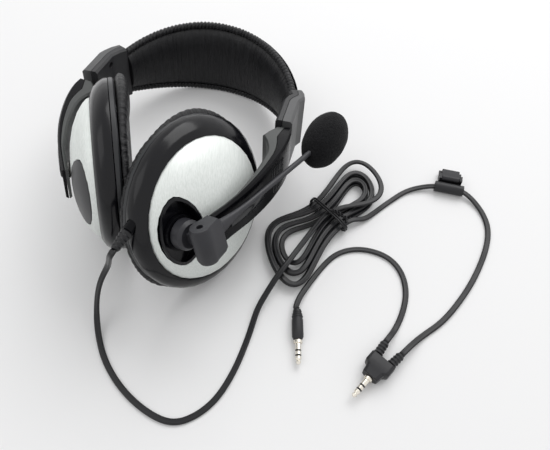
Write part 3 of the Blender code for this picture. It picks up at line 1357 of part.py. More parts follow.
def add_clip_ears(sleeve, jaw_half, hinge_y, hinge_z, low, knuckle, axes):
    """Two ears of the sleeve carry the jaw's pin."""
    inside = jaw_half - CLIP_EAR_WIDTH
    for name, start, end in (("near", -jaw_half, -inside), ("far", inside, jaw_half)):
        points, faces = box((start, hinge_y - knuckle, low + CLIP_EAR_ROOT),
                            (end, hinge_y + knuckle, hinge_z + knuckle))
        union = sleeve.modifiers.new("join_ear_" + name, "BOOLEAN")
        union.operation = "UNION"
        union.solver = "EXACT"
        union.object = add_cutter("clip_ear_" + name, points, faces, axes)
    points, faces = cylinder(CLIP_PIN_RADIUS + GAP, -CLIP_LENGTH, CLIP_LENGTH, 16)
    place = Matrix.Translation((0.0, hinge_y, hinge_z))
    cut(sleeve, add_cutter("clip_ear_bores", moved(along_x(points), place), faces, axes))


# ---------------------------------------------------------------- plugs

def pin_profile(start):
    """Plug pin: a collar, the shank with its two ring grooves, and the waisted tip."""
    collar = start + PIN_COLLAR_LENGTH
    groove = PIN_RADIUS - PIN_GROOVE_DEPTH
    tip = start + PIN_LENGTH
    profile = [(0.0, start), (PIN_COLLAR_RADIUS, start), (PIN_COLLAR_RADIUS, collar), (PIN_RADIUS, collar)]
    for near, far in PIN_GROOVES:
        profile += [(PIN_RADIUS, tip - near), (groove, tip - near + PIN_GROOVE_SLOPE)]
        profile += [(groove, tip - far - PIN_GROOVE_SLOPE), (PIN_RADIUS, tip - far)]
    for back, share in PIN_HEAD:
        profile.append((PIN_RADIUS * share, tip - back))
    profile.append((0.0, tip))
    return profile


def build_straight_plug(parent):
    """Moulded plug with ribs at its rear; returns the point behind it and the way to its cord."""
    frame = Matrix.Translation(STRAIGHT_PLUG_PLACE) @ Matrix.Rotation(STRAIGHT_PLUG_TURN, 4, "Z")
    axes = make_axes("straight_plug_axes", frame, parent)
    radius = STRAIGHT_PLUG_RADIUS
    tail = CORD_DIAMETER / 2.0 + STRAIGHT_PLUG_TAIL_WALL
    profile = [(0.0, 0.0), (tail, 0.0)]
    for rib in range(STRAIGHT_PLUG_RIBS):
        base = STRAIGHT_PLUG_FIRST_RIB + STRAIGHT_PLUG_RIB_PITCH * rib
        wide = tail + (radius - tail) * (rib + 1) / STRAIGHT_PLUG_RIBS
        profile += [(wide, base), (wide, base + STRAIGHT_PLUG_RIB_WIDTH)]
        narrow = wide - STRAIGHT_PLUG_RIB_DEPTH
        profile += [(narrow, base + STRAIGHT_PLUG_RIB_WIDTH * 1.1),
                    (narrow, base + STRAIGHT_PLUG_RIB_PITCH * 0.95)]
    length = STRAIGHT_PLUG_LENGTH
    profile += [(radius, STRAIGHT_PLUG_SHOULDER), (radius, length - STRAIGHT_PLUG_NOSE),
                (radius - STRAIGHT_PLUG_NOSE_DEPTH, length), (0.0, length)]
    points, faces = spin(profile, SMALL_SEGMENTS, closed=False)
    add_mesh("straight_plug", along_x(points), faces, MATERIALS["cord_jacket"], axes)
    points, faces = spin(pin_profile(length + GAP), SMALL_SEGMENTS, closed=False)
    add_mesh("straight_plug_pin", along_x(points), faces, MATERIALS["plug_metal"], axes)
    back = frame @ Vector((-GAP, 0.0, 0.0))
    behind = frame @ Vector((-GAP - 2.0 * CORD_DIAMETER, 0.0, -PLUG_CORD_SAG))
    return back, behind


def build_y_plug(parent):
    """Block with two ribbed reliefs behind and a pin in front; returns both reliefs' tips."""
    frame = Matrix.Translation(Y_PLUG_PLACE) @ Matrix.Rotation(Y_PLUG_TURN, 4, "Z")
    axes = make_axes("y_plug_axes", frame, parent)
    edge = Y_PLUG_BEVEL
    rings = []
    stations = [(0.0, Y_PLUG_REAR_WIDTH, 0.92), (0.06, Y_PLUG_REAR_WIDTH, 1.0),
                (0.5, Y_PLUG_REAR_WIDTH, 1.0),
                (0.62, Y_PLUG_FRONT_WIDTH * 1.16, 0.95), (1.0, Y_PLUG_FRONT_WIDTH, 0.9)]
    for share, width, tall in stations:
        half = width / 2.0
        high = Y_PLUG_HEIGHT / 2.0 * tall
        section = [(half, -high + edge), (half, high - edge), (half - edge, high), (-half + edge, high),
                   (-half, high - edge), (-half, -high + edge), (-half + edge, -high), (half - edge, -high)]
        rings.append([Vector((share * Y_PLUG_LENGTH, y, z)) for y, z in section])
    add_mesh("y_plug", *loft(rings), MATERIALS["cord_jacket"], axes)
    points, faces = spin(pin_profile(Y_PLUG_LENGTH + GAP), SMALL_SEGMENTS, closed=False)
    add_mesh("y_plug_pin", along_x(points), faces, MATERIALS["plug_metal"], axes)
    ends = {}
    for name, sign in (("clip_side", 1.0), ("link_side", -1.0)):
        turn = Matrix.Translation((-GAP, sign * Y_RELIEF_SPREAD, 0.0))
        turn = turn @ Matrix.Rotation(math.pi - sign * Y_RELIEF_SPLAY, 4, "Z")
        tip_radius = CORD_DIAMETER / 2.0 + Y_RELIEF_TIP_WALL
        profile = ribbed_profile(Y_RELIEF_STAND_OFF, Y_RELIEF_LENGTH, Y_RELIEF_RIBS, Y_RELIEF_RADIUS,
                                 tip_radius)
        points, faces = spin(profile, 10, closed=False)
        add_mesh("y_relief_" + name, moved(along_x(points), turn), faces, MATERIALS["cord_jacket"], axes)
        reach = Y_RELIEF_LENGTH + Y_RELIEF_STAND_OFF + GAP
        back = frame @ turn @ Vector((reach, 0.0, 0.0))
        behind = frame @ turn @ Vector((reach + 2.0 * CORD_DIAMETER, 0.0, -2.0 * PLUG_CORD_SAG))
        ends[name] = (back, behind)
    return ends


# ---------------------------------------------------------------- assembly

def build_cords(relief_tip, relief_ahead, parent):
    hank = build_hank(parent)
    along = (hank[1] - hank[0]).normalized()
    into = hank[0] - along * GAP
    before = into - along * 2.0 * CORD_DIAMETER
    points, length = route_points((relief_tip, relief_ahead), CUP_CORD_ROUTE, (before, into))
    print("cord from cup to hank: %.0f mm" % (length / MM))
    add_tube("cord_cup", points, CORD_DIAMETER, MATERIALS["cord_jacket"], parent)

    plug_back, plug_behind = build_straight_plug(parent)
    ends = build_y_plug(parent)
    along = (hank[-1] - hank[-2]).normalized()
    leave = hank[-1] + along * GAP
    after = leave + along * CORD_DIAMETER
    back, behind = ends["clip_side"]
    sleeve = Matrix.Rotation(CLIP_TURN, 4, "Z") @ Vector((CLIP_LENGTH / 2.0, 0.0, 0.0))
    lead = sleeve.normalized() * 2.0 * CORD_DIAMETER
    near, near_length = route_points(
        (leave, after), HANK_TO_CLIP_ROUTE, (CLIP_PLACE - sleeve - lead, CLIP_PLACE - sleeve))
    far, far_length = route_points(
        (CLIP_PLACE + sleeve, CLIP_PLACE + sleeve + lead), CLIP_TO_PLUG_ROUTE, (behind, back))
    length = near_length + far_length + (far[0] - near[-1]).length
    print("cord from hank to Y plug: %.0f mm" % (length / MM))
    add_tube("cord_clip", near + far, CORD_DIAMETER, MATERIALS["cord_jacket"], parent)
    back, behind = ends["link_side"]
    points, length = route_points((back, behind), LINK_CORD_ROUTE, (plug_behind, plug_back))
    print("link cord: %.0f mm" % (length / MM))
    add_tube("cord_link", points, CORD_DIAMETER, MATERIALS["cord_jacket"], parent)


CORD_PIECES = ("cord_", "clip_", "y_", "straight_", "twist_", "strain_relief")


def centre_on_table(table):
    """Moves everything so that the headset itself stands centred on the origin."""
    bpy.context.view_layer.update()
    depsgraph = bpy.context.evaluated_depsgraph_get()
    low = Vector((1.0, 1.0, 1.0))
    high = -low
    for item in bpy.data.objects:
        if item.type == "EMPTY" or item.hide_render:
            continue
        if item.name.startswith(CORD_PIECES) and item.name != "cord_gland":
            continue
        solid = item.evaluated_get(depsgraph)
        for vertex in solid.to_mesh().vertices:
            point = item.matrix_world @ vertex.co
            for axis in range(3):
                low[axis] = min(low[axis], point[axis])
                high[axis] = max(high[axis], point[axis])
        solid.to_mesh_clear()
    middle = (low + high) / 2.0
    table.location = (-middle.x, -middle.y, -low.z)
    bpy.context.view_layer.update()
    print("shift of the table's axes: %.4f %.4f %.4f m" % tuple(table.location))
    return Vector((high - low))


def flatten_on_table(names, parent):
    """Cuts the soft pieces flat where they rest on the table."""
    cutter = add_cutter("table_top", *box((-0.4, -0.4, -0.02), (0.4, 0.4, 0.0)), parent)
    for name in names:
        cut(bpy.data.objects[name], cutter)


def main():
    clear_scene()
    make_materials()
    table = make_axes("table", Matrix.Identity(4))
    lie = Matrix.Rotation(HEADSET_YAW, 4, "Z")
    lie = lie @ Matrix.Rotation(HEADSET_PITCH, 4, "X") @ Matrix.Rotation(HEADSET_ROLL, 4, "Y")
    lie.translation = HEADSET_PLACE
    headset = make_axes("headset", lie, table)
    build_band(headset)
    for side, data in SIDES.items():
        build_cap(side, data, headset)
        ball_centre, outward = build_arm(side, data, headset)
        cup = cup_matrix(data, ball_centre)
        pivot = cup.copy()
        pivot.translation = ball_centre
        pivot_axes = make_axes("cup_%s_pivot" % side, pivot, headset)
        cup_axes = make_axes("cup_%s" % side, pivot.inverted() @ cup, pivot_axes)
        shell = build_cup_shells(side, cup_axes)
        build_ball_seat(side, cup_axes, pivot_axes)
        if side == "left":
            build_blank_cap(cup_axes)
            continue
        build_tray(cup_axes)
        build_microphone(cup_axes)
        tip, ahead = build_gland(shell, cup_axes)
        place = lie @ cup
        relief_ends = (place @ tip, place @ ahead)
    build_cords(*relief_ends, table)
    build_clip(table)
    flatten_on_table(("band_pad", "ear_pad_left", "ear_pad_right"), table)
    centre_on_table(table)


main()
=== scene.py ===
"""Stereo headset with a boom microphone: soft goods, cords, finishes, light and camera.

Pieces are placed in the frame of the solid model, in metres, with the floor at Z = 0.
"""

import json
import math

import bmesh
import bpy
from mathutils import Matrix, Vector, noise
from mathutils.bvhtree import BVHTree

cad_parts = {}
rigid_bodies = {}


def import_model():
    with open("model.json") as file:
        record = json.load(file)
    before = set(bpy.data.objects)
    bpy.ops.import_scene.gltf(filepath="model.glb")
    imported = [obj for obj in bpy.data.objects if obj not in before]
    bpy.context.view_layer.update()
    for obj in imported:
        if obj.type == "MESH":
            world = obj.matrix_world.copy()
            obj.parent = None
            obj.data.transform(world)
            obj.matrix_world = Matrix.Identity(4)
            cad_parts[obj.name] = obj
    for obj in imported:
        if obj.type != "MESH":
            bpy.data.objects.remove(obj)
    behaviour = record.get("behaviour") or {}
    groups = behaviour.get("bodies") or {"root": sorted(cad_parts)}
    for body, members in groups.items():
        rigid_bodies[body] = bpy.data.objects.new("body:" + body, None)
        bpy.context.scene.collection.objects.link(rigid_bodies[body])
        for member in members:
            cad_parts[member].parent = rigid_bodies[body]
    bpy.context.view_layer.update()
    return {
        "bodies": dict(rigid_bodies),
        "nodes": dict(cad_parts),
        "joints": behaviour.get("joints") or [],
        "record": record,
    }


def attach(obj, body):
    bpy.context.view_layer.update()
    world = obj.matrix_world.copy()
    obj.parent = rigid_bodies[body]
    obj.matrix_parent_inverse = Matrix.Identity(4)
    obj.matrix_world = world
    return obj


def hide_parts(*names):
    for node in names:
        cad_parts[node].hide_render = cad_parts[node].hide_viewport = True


MM = 0.001
PIN_SPAN = 16.0 * MM  # the stretch up to a pin's tip that carries its rings
PIN_RINGS = ((0.49, 0.55), (0.67, 0.73))  # insulators, as shares of that stretch

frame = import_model()
NODES = frame["nodes"]

# Where the headset, its cups and the microphone lie, as in the solid model
TABLE = Vector((0.043826, -0.039610, 0.000065))
HEADSET = Matrix((
    (0.974497, 0.216213, 0.060069, -0.014574), (-0.224094, 0.951665, 0.210039, 0.017690),
    (-0.011752, -0.218143, 0.975846, 0.041205), (0.0, 0.0, 0.0, 1.0)))
CUP_LEFT = Matrix((
    (-0.263529, -0.086808, -0.960738, -0.051702), (0.897907, -0.386097, -0.211408, -0.028615),
    (-0.352586, -0.918365, 0.179693, 0.049951), (0.0, 0.0, 0.0, 1.0)))
CUP_RIGHT = Matrix((
    (0.614524, -0.080953, 0.784733, -0.000127), (0.712261, 0.484606, -0.507780, -0.054502),
    (-0.339181, 0.870978, 0.355462, 0.047857), (0.0, 0.0, 0.0, 1.0)))
BOOM = Matrix((
    (0.596106, -0.169856, 0.784733, 0.008125), (0.775413, 0.375358, -0.507780, -0.093693),
    (-0.208307, 0.911183, 0.355462, 0.070430), (0.0, 0.0, 0.0, 1.0)))

# ---------------------------------------------------------------- helpers


def smooth_curve(knots, per_span=16):
    """Dense points on a Catmull-Rom curve through the knots."""
    padded = [knots[0] * 2.0 - knots[1]] + list(knots) + [knots[-1] * 2.0 - knots[-2]]
    dense = []
    for index in range(1, len(padded) - 2):
        before, start, end, after = padded[index - 1:index + 3]
        for step in range(per_span):
            t = step / per_span
            dense.append(0.5 * (
                2.0 * start + (end - before) * t
                + (2.0 * before - 5.0 * start + 4.0 * end - after) * t * t
                + (3.0 * start - before - 3.0 * end + after) * t * t * t
            ))
    dense.append(knots[-1].copy())
    return dense


def line_length(points):
    return sum((points[index] - points[index - 1]).length for index in range(1, len(points)))


def even_points(dense, count):
    """Points at equal distances along a dense line."""
    lengths = [0.0]
    for index in range(1, len(dense)):
        lengths.append(lengths[-1] + (dense[index] - dense[index - 1]).length)
    result = []
    index = 0
    for step in range(count):
        target = lengths[-1] * step / (count - 1)
        while index < len(dense) - 2 and lengths[index + 1] < target:
            index += 1
        span = lengths[index + 1] - lengths[index]
        share = (target - lengths[index]) / span if span > 0.0 else 0.0
        result.append(dense[index].lerp(dense[index + 1], min(share, 1.0)))
    return result


def relaxed(points, passes):
    """Rounds off small kinks; the two points at either end stay."""
    for _ in range(passes):
        middle = [(points[k - 1] + points[k] * 2.0 + points[k + 1]) * 0.25
                  for k in range(2, len(points) - 2)]
        points = points[:2] + middle + points[-2:]
    return points


def add_mesh(name, points, faces, material, body, slot, uvs=None):
    mesh = bpy.data.meshes.new(name)
    mesh.from_pydata([tuple(point) for point in points], [], faces)
    mesh.update()
    mesh.shade_smooth()
    if uvs:
        layer = mesh.uv_layers.new(name="UVMap")
        for loop in mesh.loops:
            layer.data[loop.index].uv = uvs[loop.vertex_index]
    mesh.materials.append(material)
    piece = bpy.data.objects.new(name, mesh)
    bpy.context.scene.collection.objects.link(piece)
    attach(piece, body)
    return piece


def loft(rings, closed=False):
    """Skin through rings of equally many points; open lofts get flat ends."""
    count = len(rings[0])
    points = [point for ring in rings for point in ring]
    faces = []
    spans = len(rings) if closed else len(rings) - 1
    for row in range(spans):
        here = row * count
        there = ((row + 1) % len(rings)) * count
        for step in range(count):
            ahead = (step + 1) % count
            faces.append((here + step, here + ahead, there + ahead, there + step))
    if not closed:
        faces.append(tuple(reversed(range(count))))
        faces.append(tuple(range((len(rings) - 1) * count, len(rings) * count)))
    return points, faces


def close_uvs(piece):
    """Carries the UVs of a closed loft on past its seam."""
    layer = piece.data.uv_layers[0].data
    for polygon in piece.data.polygons:
        for axis in (0, 1):
            values = [layer[loop].uv[axis] for loop in polygon.loop_indices]
            if max(values) - min(values) > 0.5:
                for loop, value in zip(polygon.loop_indices, values):
                    if value < 0.5:
                        layer[loop].uv[axis] = value + 1.0


def fix_normals(piece):
    work = bmesh.new()
    work.from_mesh(piece.data)
    bmesh.ops.recalc_face_normals(work, faces=work.faces)
    work.to_mesh(piece.data)
    work.free()


def sweep(path, section, twist=None):
    """Rings of a flat section along a path; its width stays level unless it's twisted."""
    rings = []
    side = None
    for index, point in enumerate(path):
        before = path[max(index - 1, 0)]
        after = path[min(index + 1, len(path) - 1)]
        run = (after - before).normalized()
        level = run.cross(Vector((0.0, 0.0, 1.0)))
        flatness = eased((level.length - 0.45) / 0.4)
        if side is None:
            side = level.normalized()
        carried = (side - run * side.dot(run)).normalized()
        if level.length > 0.01:
            if level.dot(carried) < 0.0:
                level = -level
            carried = carried.lerp(level.normalized(), 0.35 * flatness).normalized()
        level = (carried - run * carried.dot(run)).normalized()
        side = level
        over = level.cross(run).normalized()
        if over.z < 0.0:
            over = -over
        turn = twist(index / (len(path) - 1)) if twist else 0.0
        wide = level * math.cos(turn) + over * math.sin(turn)
        thick = over * math.cos(turn) - level * math.sin(turn)
        rings.append([point + wide * across + thick * up for across, up in section])
    return rings


def round_section(radius, sides):
    angles = [2.0 * math.pi * side / sides for side in range(sides)]
    return [(radius * math.cos(angle), radius * math.sin(angle)) for angle in angles]


def join(points, faces, part):
    """Adds another loft's points and faces to those gathered so far."""
    new_points, new_faces = part
    faces += [tuple(index + len(points) for index in face) for face in new_faces]
    points += new_points


# ---------------------------------------------------------------- materials

class Nodes:
    """Small helper around one material's node tree."""

    def __init__(self, name):
        self.material = bpy.data.materials.new(name)
        self.material.use_nodes = True
        self.tree = self.material.node_tree
        self.shader = self.tree.nodes["Principled BSDF"]
        self.coords = self.tree.nodes.new("ShaderNodeTexCoord")

    def node(self, kind, inputs=None, **settings):
        item = self.tree.nodes.new(kind)
        for key, value in settings.items():
            setattr(item, key, value)
        for key, value in (inputs or {}).items():
            if isinstance(value, bpy.types.NodeSocket):
                self.tree.links.new(value, item.inputs[key])
            else:
                item.inputs[key].default_value = value
        return item

    def link(self, output, socket):
        self.tree.links.new(output, socket)

    def scaled(self, scale, uv=False):
        source = self.coords.outputs["UV" if uv else "Object"]
        return self.node("ShaderNodeMapping", {"Vector": source, "Scale": scale}).outputs["Vector"]

    def noise(self, vector, scale, detail=3.0, rough=0.5):
        return self.node("ShaderNodeTexNoise", {"Vector": vector, "Scale": scale, "Detail": detail,
                                                "Roughness": rough}).outputs["Fac"]

    def ramp(self, value, low, high, start=0.35, end=0.65):
        ramp = self.node("ShaderNodeMapRange", {"Value": value, "From Min": start, "From Max": end,
                                                "To Min": low, "To Max": high})
        return ramp.outputs["Result"]

    def mix(self, share, first, second):
        item = self.node("ShaderNodeMix", data_type="RGBA")
        self.link(share, item.inputs[0])
        item.inputs[6].default_value = (*first, 1.0)
        item.inputs[7].default_value = (*second, 1.0)
        return item.outputs[2]

    def bump(self, height, distance, strength=1.0, under=None):
        inputs = {"Height": height, "Distance": distance, "Strength": strength}
        if under is not None:
            inputs["Normal"] = under
        return self.node("ShaderNodeBump", inputs).outputs["Normal"]


def moulded(name, colour, rough, grain=0.00002, spread=0.06, coat=0.0, tint=1.25, shine=0.4):
    """Moulded plastic: fine spark-eroded grain, slightly uneven gloss and colour."""
    n = Nodes(name)
    fine = n.noise(n.scaled((1.0, 1.0, 1.0)), 2600.0, 2.0)
    broad = n.noise(n.scaled((1.0, 1.0, 1.0)), 55.0, 4.0)
    n.link(n.ramp(broad, rough - spread, rough + spread), n.shader.inputs["Roughness"])
    n.link(n.mix(n.ramp(broad, 0.0, 1.0), colour, [part * tint for part in colour]),
           n.shader.inputs["Base Color"])
    n.link(n.bump(fine, grain), n.shader.inputs["Normal"])
    n.shader.inputs["Coat Weight"].default_value = coat
    n.shader.inputs["Coat Roughness"].default_value = 0.12
    n.shader.inputs["Specular IOR Level"].default_value = shine
    return n.material


def brushed(name):
    """Brushed silver finish with long fine scratches across the cup."""
    n = Nodes(name)
    turned = n.node("ShaderNodeMapping", {
        "Vector": n.coords.outputs["Object"], "Rotation": (0.0, 0.0, 0.62),
        "Scale": (1.0, 0.035, 0.35)}).outputs["Vector"]
    lines = n.noise(turned, 2400.0, 3.0, 0.6)
    broad = n.noise(n.scaled((1.0, 1.0, 1.0)), 30.0, 3.0)
    n.link(n.mix(n.ramp(lines, 0.0, 1.0, 0.25, 0.75), (0.72, 0.76, 0.73), (0.92, 0.95, 0.93)),
           n.shader.inputs["Base Color"])
    n.link(n.ramp(broad, 0.46, 0.54), n.shader.inputs["Roughness"])
    n.link(n.bump(lines, 0.00003, 0.6), n.shader.inputs["Normal"])
    n.shader.inputs["Metallic"].default_value = 0.3
    return n.material


def leatherette(name, wrinkle_scale=(1.0, 1.0, 1.0), wrinkle_depth=0.0004, uv=False):
    """Soft black leatherette: pores, fine creases and gentle wrinkles."""
    n = Nodes(name)
    pores = n.node("ShaderNodeTexVoronoi", {"Vector": n.scaled((1.0, 1.0, 1.0)), "Scale": 950.0})
    creases = n.noise(n.scaled((1.0, 1.0, 1.0)), 420.0, 5.0, 0.6)
    folds = n.noise(n.scaled(wrinkle_scale, uv), 1.0, 4.0, 0.55)
    under = n.bump(folds, wrinkle_depth)
    under = n.bump(creases, 0.00006, 0.8, under)
    n.link(n.bump(pores.outputs["Distance"], 0.00003, 0.6, under), n.shader.inputs["Normal"])
    n.link(n.mix(n.ramp(folds, 0.0, 1.0), (0.004, 0.004, 0.005), (0.010, 0.010, 0.012)),
           n.shader.inputs["Base Color"])
    n.link(n.ramp(creases, 0.36, 0.50), n.shader.inputs["Roughness"])
    n.shader.inputs["Specular IOR Level"].default_value = 0.36
    return n.material


def foam(name):
    """Open-cell foam: deep fine cells that swallow light."""
    n = Nodes(name)
    cells = n.node("ShaderNodeTexVoronoi", {"Vector": n.scaled((1.0, 1.0, 1.0)), "Scale": 1300.0})
    clumps = n.noise(n.scaled((1.0, 1.0, 1.0)), 900.0, 4.0, 0.7)
    n.link(n.mix(n.ramp(clumps, 0.0, 1.0), (0.003, 0.003, 0.004), (0.012, 0.012, 0.013)),
           n.shader.inputs["Base Color"])
    under = n.bump(clumps, 0.0003)
    n.link(n.bump(cells.outputs["Distance"], 0.0003, 1.0, under), n.shader.inputs["Normal"])
    n.shader.inputs["Roughness"].default_value = 0.95
    n.shader.inputs["Specular IOR Level"].default_value = 0.1
    n.shader.inputs["Sheen Weight"].default_value = 0.06
    n.shader.inputs["Sheen Roughness"].default_value = 0.6
    return n.material


def contact_pin(name, back, out, reach):
    """Polished pin with black insulator rings, placed along its axis."""
    n = Nodes(name)
    along = n.node("ShaderNodeVectorMath", {0: n.coords.outputs["Object"], 1: tuple(out)},
                   operation="DOT_PRODUCT")
    tip = out.dot(back) + reach
    depth = n.node("ShaderNodeMapRange", {
        "Value": along.outputs["Value"], "From Min": tip - PIN_SPAN, "From Max": tip,
        "To Min": 0.0, "To Max": 1.0}).outputs["Result"]
    ramp = n.node("ShaderNodeValToRGB", {"Fac": depth})
    ramp.color_ramp.interpolation = "CONSTANT"
    silver = (0.78, 0.74, 0.66, 1.0)
    black = (0.006, 0.006, 0.006, 1.0)
    ramp.color_ramp.elements[0].color = silver
    ramp.color_ramp.elements[1].position = PIN_RINGS[0][0]
    ramp.color_ramp.elements[1].color = black
    for start, colour in ((PIN_RINGS[0][1], silver), (PIN_RINGS[1][0], black),
                          (PIN_RINGS[1][1], silver)):
        ramp.color_ramp.elements.new(start).color = colour
    n.link(ramp.outputs["Color"], n.shader.inputs["Base Color"])
    metal = n.node("ShaderNodeMath", {0: ramp.outputs["Color"], 1: 0.1}, operation="GREATER_THAN")
    n.link(metal.outputs["Value"], n.shader.inputs["Metallic"])
    broad = n.noise(n.scaled((1.0, 1.0, 1.0)), 700.0, 3.0)
    n.link(n.ramp(broad, 0.16, 0.26), n.shader.inputs["Roughness"])
    return n.material


def polished_metal(name, first, second, rough):
    n = Nodes(name)
    broad = n.noise(n.scaled((1.0, 1.0, 1.0)), 700.0, 3.0)
    n.link(n.mix(n.ramp(broad, 0.0, 1.0), first, second), n.shader.inputs["Base Color"])
    n.link(n.ramp(broad, rough, rough * 1.6), n.shader.inputs["Roughness"])
    n.shader.inputs["Metallic"].default_value = 1.0
    return n.material


GLOSS = moulded("gloss_black", (0.0030, 0.0030, 0.0045), 0.20, 0.000004, 0.04, 0.07, shine=0.24)
INLAY = moulded("inlay_black", (0.003, 0.004, 0.006), 0.16, 0.000006, 0.04, 0.08, shine=0.3)
ARM_BLACK = moulded("arm_black", (0.0020, 0.0020, 0.0030), 0.27, 0.00001, 0.05, 0.0, shine=0.11)
ARM_GREY = moulded("arm_grey", (0.046, 0.049, 0.048), 0.42, 0.00002)
CAP_GREY = moulded("cap_grey", (0.072, 0.073, 0.075), 0.46, 0.00004)
CAP_DARK = moulded("cap_dark_grey", (0.020, 0.020, 0.022), 0.44, 0.00003)
RING_GREY = moulded("ring_grey", (0.016, 0.017, 0.019), 0.36, 0.00002)
MIC_GREY = moulded("mic_grey", (0.022, 0.022, 0.026), 0.42, 0.00003)
BLANK_GREY = moulded("blank_grey", (0.040, 0.040, 0.042), 0.42, 0.00002)
HIDDEN_BLACK = moulded("inner_black", (0.010, 0.010, 0.011), 0.5, 0.00003)
NYLON = moulded("nylon", (0.32, 0.32, 0.31), 0.45, 0.00002)
JACKET = moulded("cord_jacket_finish", (0.006, 0.006, 0.0075), 0.36, 0.00002, 0.05, shine=0.36)
PLUG_RUBBER = moulded("plug_rubber", (0.013, 0.013, 0.015), 0.46, 0.00004, shine=0.36)
SILVER = brushed("brushed_silver")
PAD_LEATHER = leatherette("pad_leatherette", (150.0, 2.2, 1.0), 0.0022, uv=True)
BAND_LEATHER = leatherette("band_leatherette", (620.0, 22.0, 1.0), 0.0016, uv=True)
PIPING_LEATHER = leatherette("piping_leatherette", (250.0, 250.0, 250.0), 0.0003)
FOAM = foam("foam_black")
STRAIGHT_PIN = contact_pin("pin_straight", Vector((0.057026, -0.101610, 0.003565)),
                           Vector((0.0, -1.0, 0.0)), 0.033)
Y_PIN = contact_pin("pin_y", Vector((0.104826, -0.133210, 0.004965)),
                    Vector((-0.681998, -0.731354, 0.0)), 0.027)
STEEL = polished_metal("pin_steel", (0.50, 0.50, 0.50), (0.58, 0.58, 0.58), 0.22)

FINISHES = {
    "shell_left": GLOSS, "shell_right": GLOSS, "mic_tray": GLOSS,
    "plate_left": SILVER, "plate_right": SILVER,
    "seam_ring_left": RING_GREY, "seam_ring_right": RING_GREY,
    "arm_left_outer": ARM_BLACK, "arm_right_outer": ARM_BLACK,
    "arm_left_inner": ARM_GREY, "arm_right_inner": ARM_GREY,
    "arm_left_inlay": INLAY, "arm_right_inlay": INLAY,
    "cap_left_outer": CAP_GREY, "cap_right_outer": CAP_GREY,
    "cap_left_inner": CAP_DARK, "cap_right_inner": CAP_DARK,
    "slider_left": STEEL, "slider_right": STEEL, "band_spring": STEEL,
    "baffle_left": HIDDEN_BLACK, "baffle_right": HIDDEN_BLACK,
    "driver_left": STEEL, "driver_right": STEEL,
    "ball_stud_left": NYLON, "ball_stud_right": NYLON,
    "ball_bush_left": NYLON, "ball_bush_right": NYLON,
    "ball_seat_left": HIDDEN_BLACK, "ball_seat_right": HIDDEN_BLACK,
    "leaf_blank": BLANK_GREY, "mic_disc": ARM_BLACK, "mic_drum": MIC_GREY,
    "boom_elbow": MIC_GREY, "boom": MIC_GREY, "elbow_pin": ARM_BLACK, "mic_capsule": CAP_DARK,
    "cord_gland": ARM_BLACK, "strain_relief": JACKET,
    "clip_sleeve": PLUG_RUBBER, "clip_jaw": PLUG_RUBBER, "clip_pin": ARM_BLACK,
    "y_plug": PLUG_RUBBER, "y_relief_clip_side": PLUG_RUBBER, "y_relief_link_side": PLUG_RUBBER,
    "straight_plug": PLUG_RUBBER, "straight_plug_pin": STRAIGHT_PIN, "y_plug_pin": Y_PIN,
}
# Widths of the rounded edges in mm
BEVELS = {"boom_elbow": 1.2, "arm_left_outer": 0.5, "arm_right_outer": 0.5, "y_plug": 0.5,
          "clip_jaw": 0.6}
PLAIN_BEVEL = 0.25
SHARP_BEVEL = 0.06
SHARP = {"straight_plug_pin", "y_plug_pin", "elbow_pin", "clip_pin"}


def finish_nodes():
    """Material and rounded edges for each solid that stays."""
    for name, material in FINISHES.items():
        node = NODES[name]
        mesh = node.data
        mesh.materials.clear()
        mesh.materials.append(material)
        if "custom_normal" in mesh.attributes:
            mesh.attributes.remove(mesh.attributes["custom_normal"])
        mesh.shade_smooth()
        weld = node.modifiers.new("weld", "WELD")
        weld.merge_threshold = 0.00001
        bevel = node.modifiers.new("edges", "BEVEL")
        bevel.width = (SHARP_BEVEL if name in SHARP else BEVELS.get(name, PLAIN_BEVEL)) * MM
        bevel.segments = 2
        bevel.limit_method = "ANGLE"
        bevel.angle_limit = math.radians(38.0)
        bevel.harden_normals = True


# ---------------------------------------------------------------- cords

CORD_WIDTH = 3.6 * MM
CORD_THICKNESS = 1.9 * MM
CORD_REST = 1.05 * MM  # height of the middle of a cord that lies on the table
ROUND_REST = 1.9  # the same for the round cord of the routes, in mm
CORD_STEP = 1.5 * MM  # distance between the points of a cord's path
CORD_DROOP = math.radians(30.0)  # of the strain relief
CORD_ROLL = 0.3  # how far the flat cord leans from side to side, at most

# The twist tie: two turns and two twisted ends
TIE_HALF_WIDTH = 15.2 * MM
TIE_LOW = 0.9 * MM
TIE_RADIUS = 0.62 * MM
TIE_END_RADIUS = 0.55 * MM
TIE_END_LENGTH = 13.0 * MM


def twin_section():
    """Two round strands side by side with a shallow groove between them."""
    radius = CORD_THICKNESS / 2.0
    centre = CORD_WIDTH / 2.0 - radius
    section = []
    for step in range(8):
        angle = math.radians(-125.0 + 250.0 * step / 7)
        section.append((centre + radius * math.cos(angle), radius * math.sin(angle)))
    return section + [(-x, -y) for x, y in section]


def table_point(x, y, z):
    """A point of a route over the table; the flat cord lies lower than a round one."""
    height = CORD_REST + (z * MM - ROUND_REST * MM) if z > ROUND_REST else CORD_REST
    return Vector((x * MM, y * MM, height)) + Vector((TABLE.x, TABLE.y, 0.0))


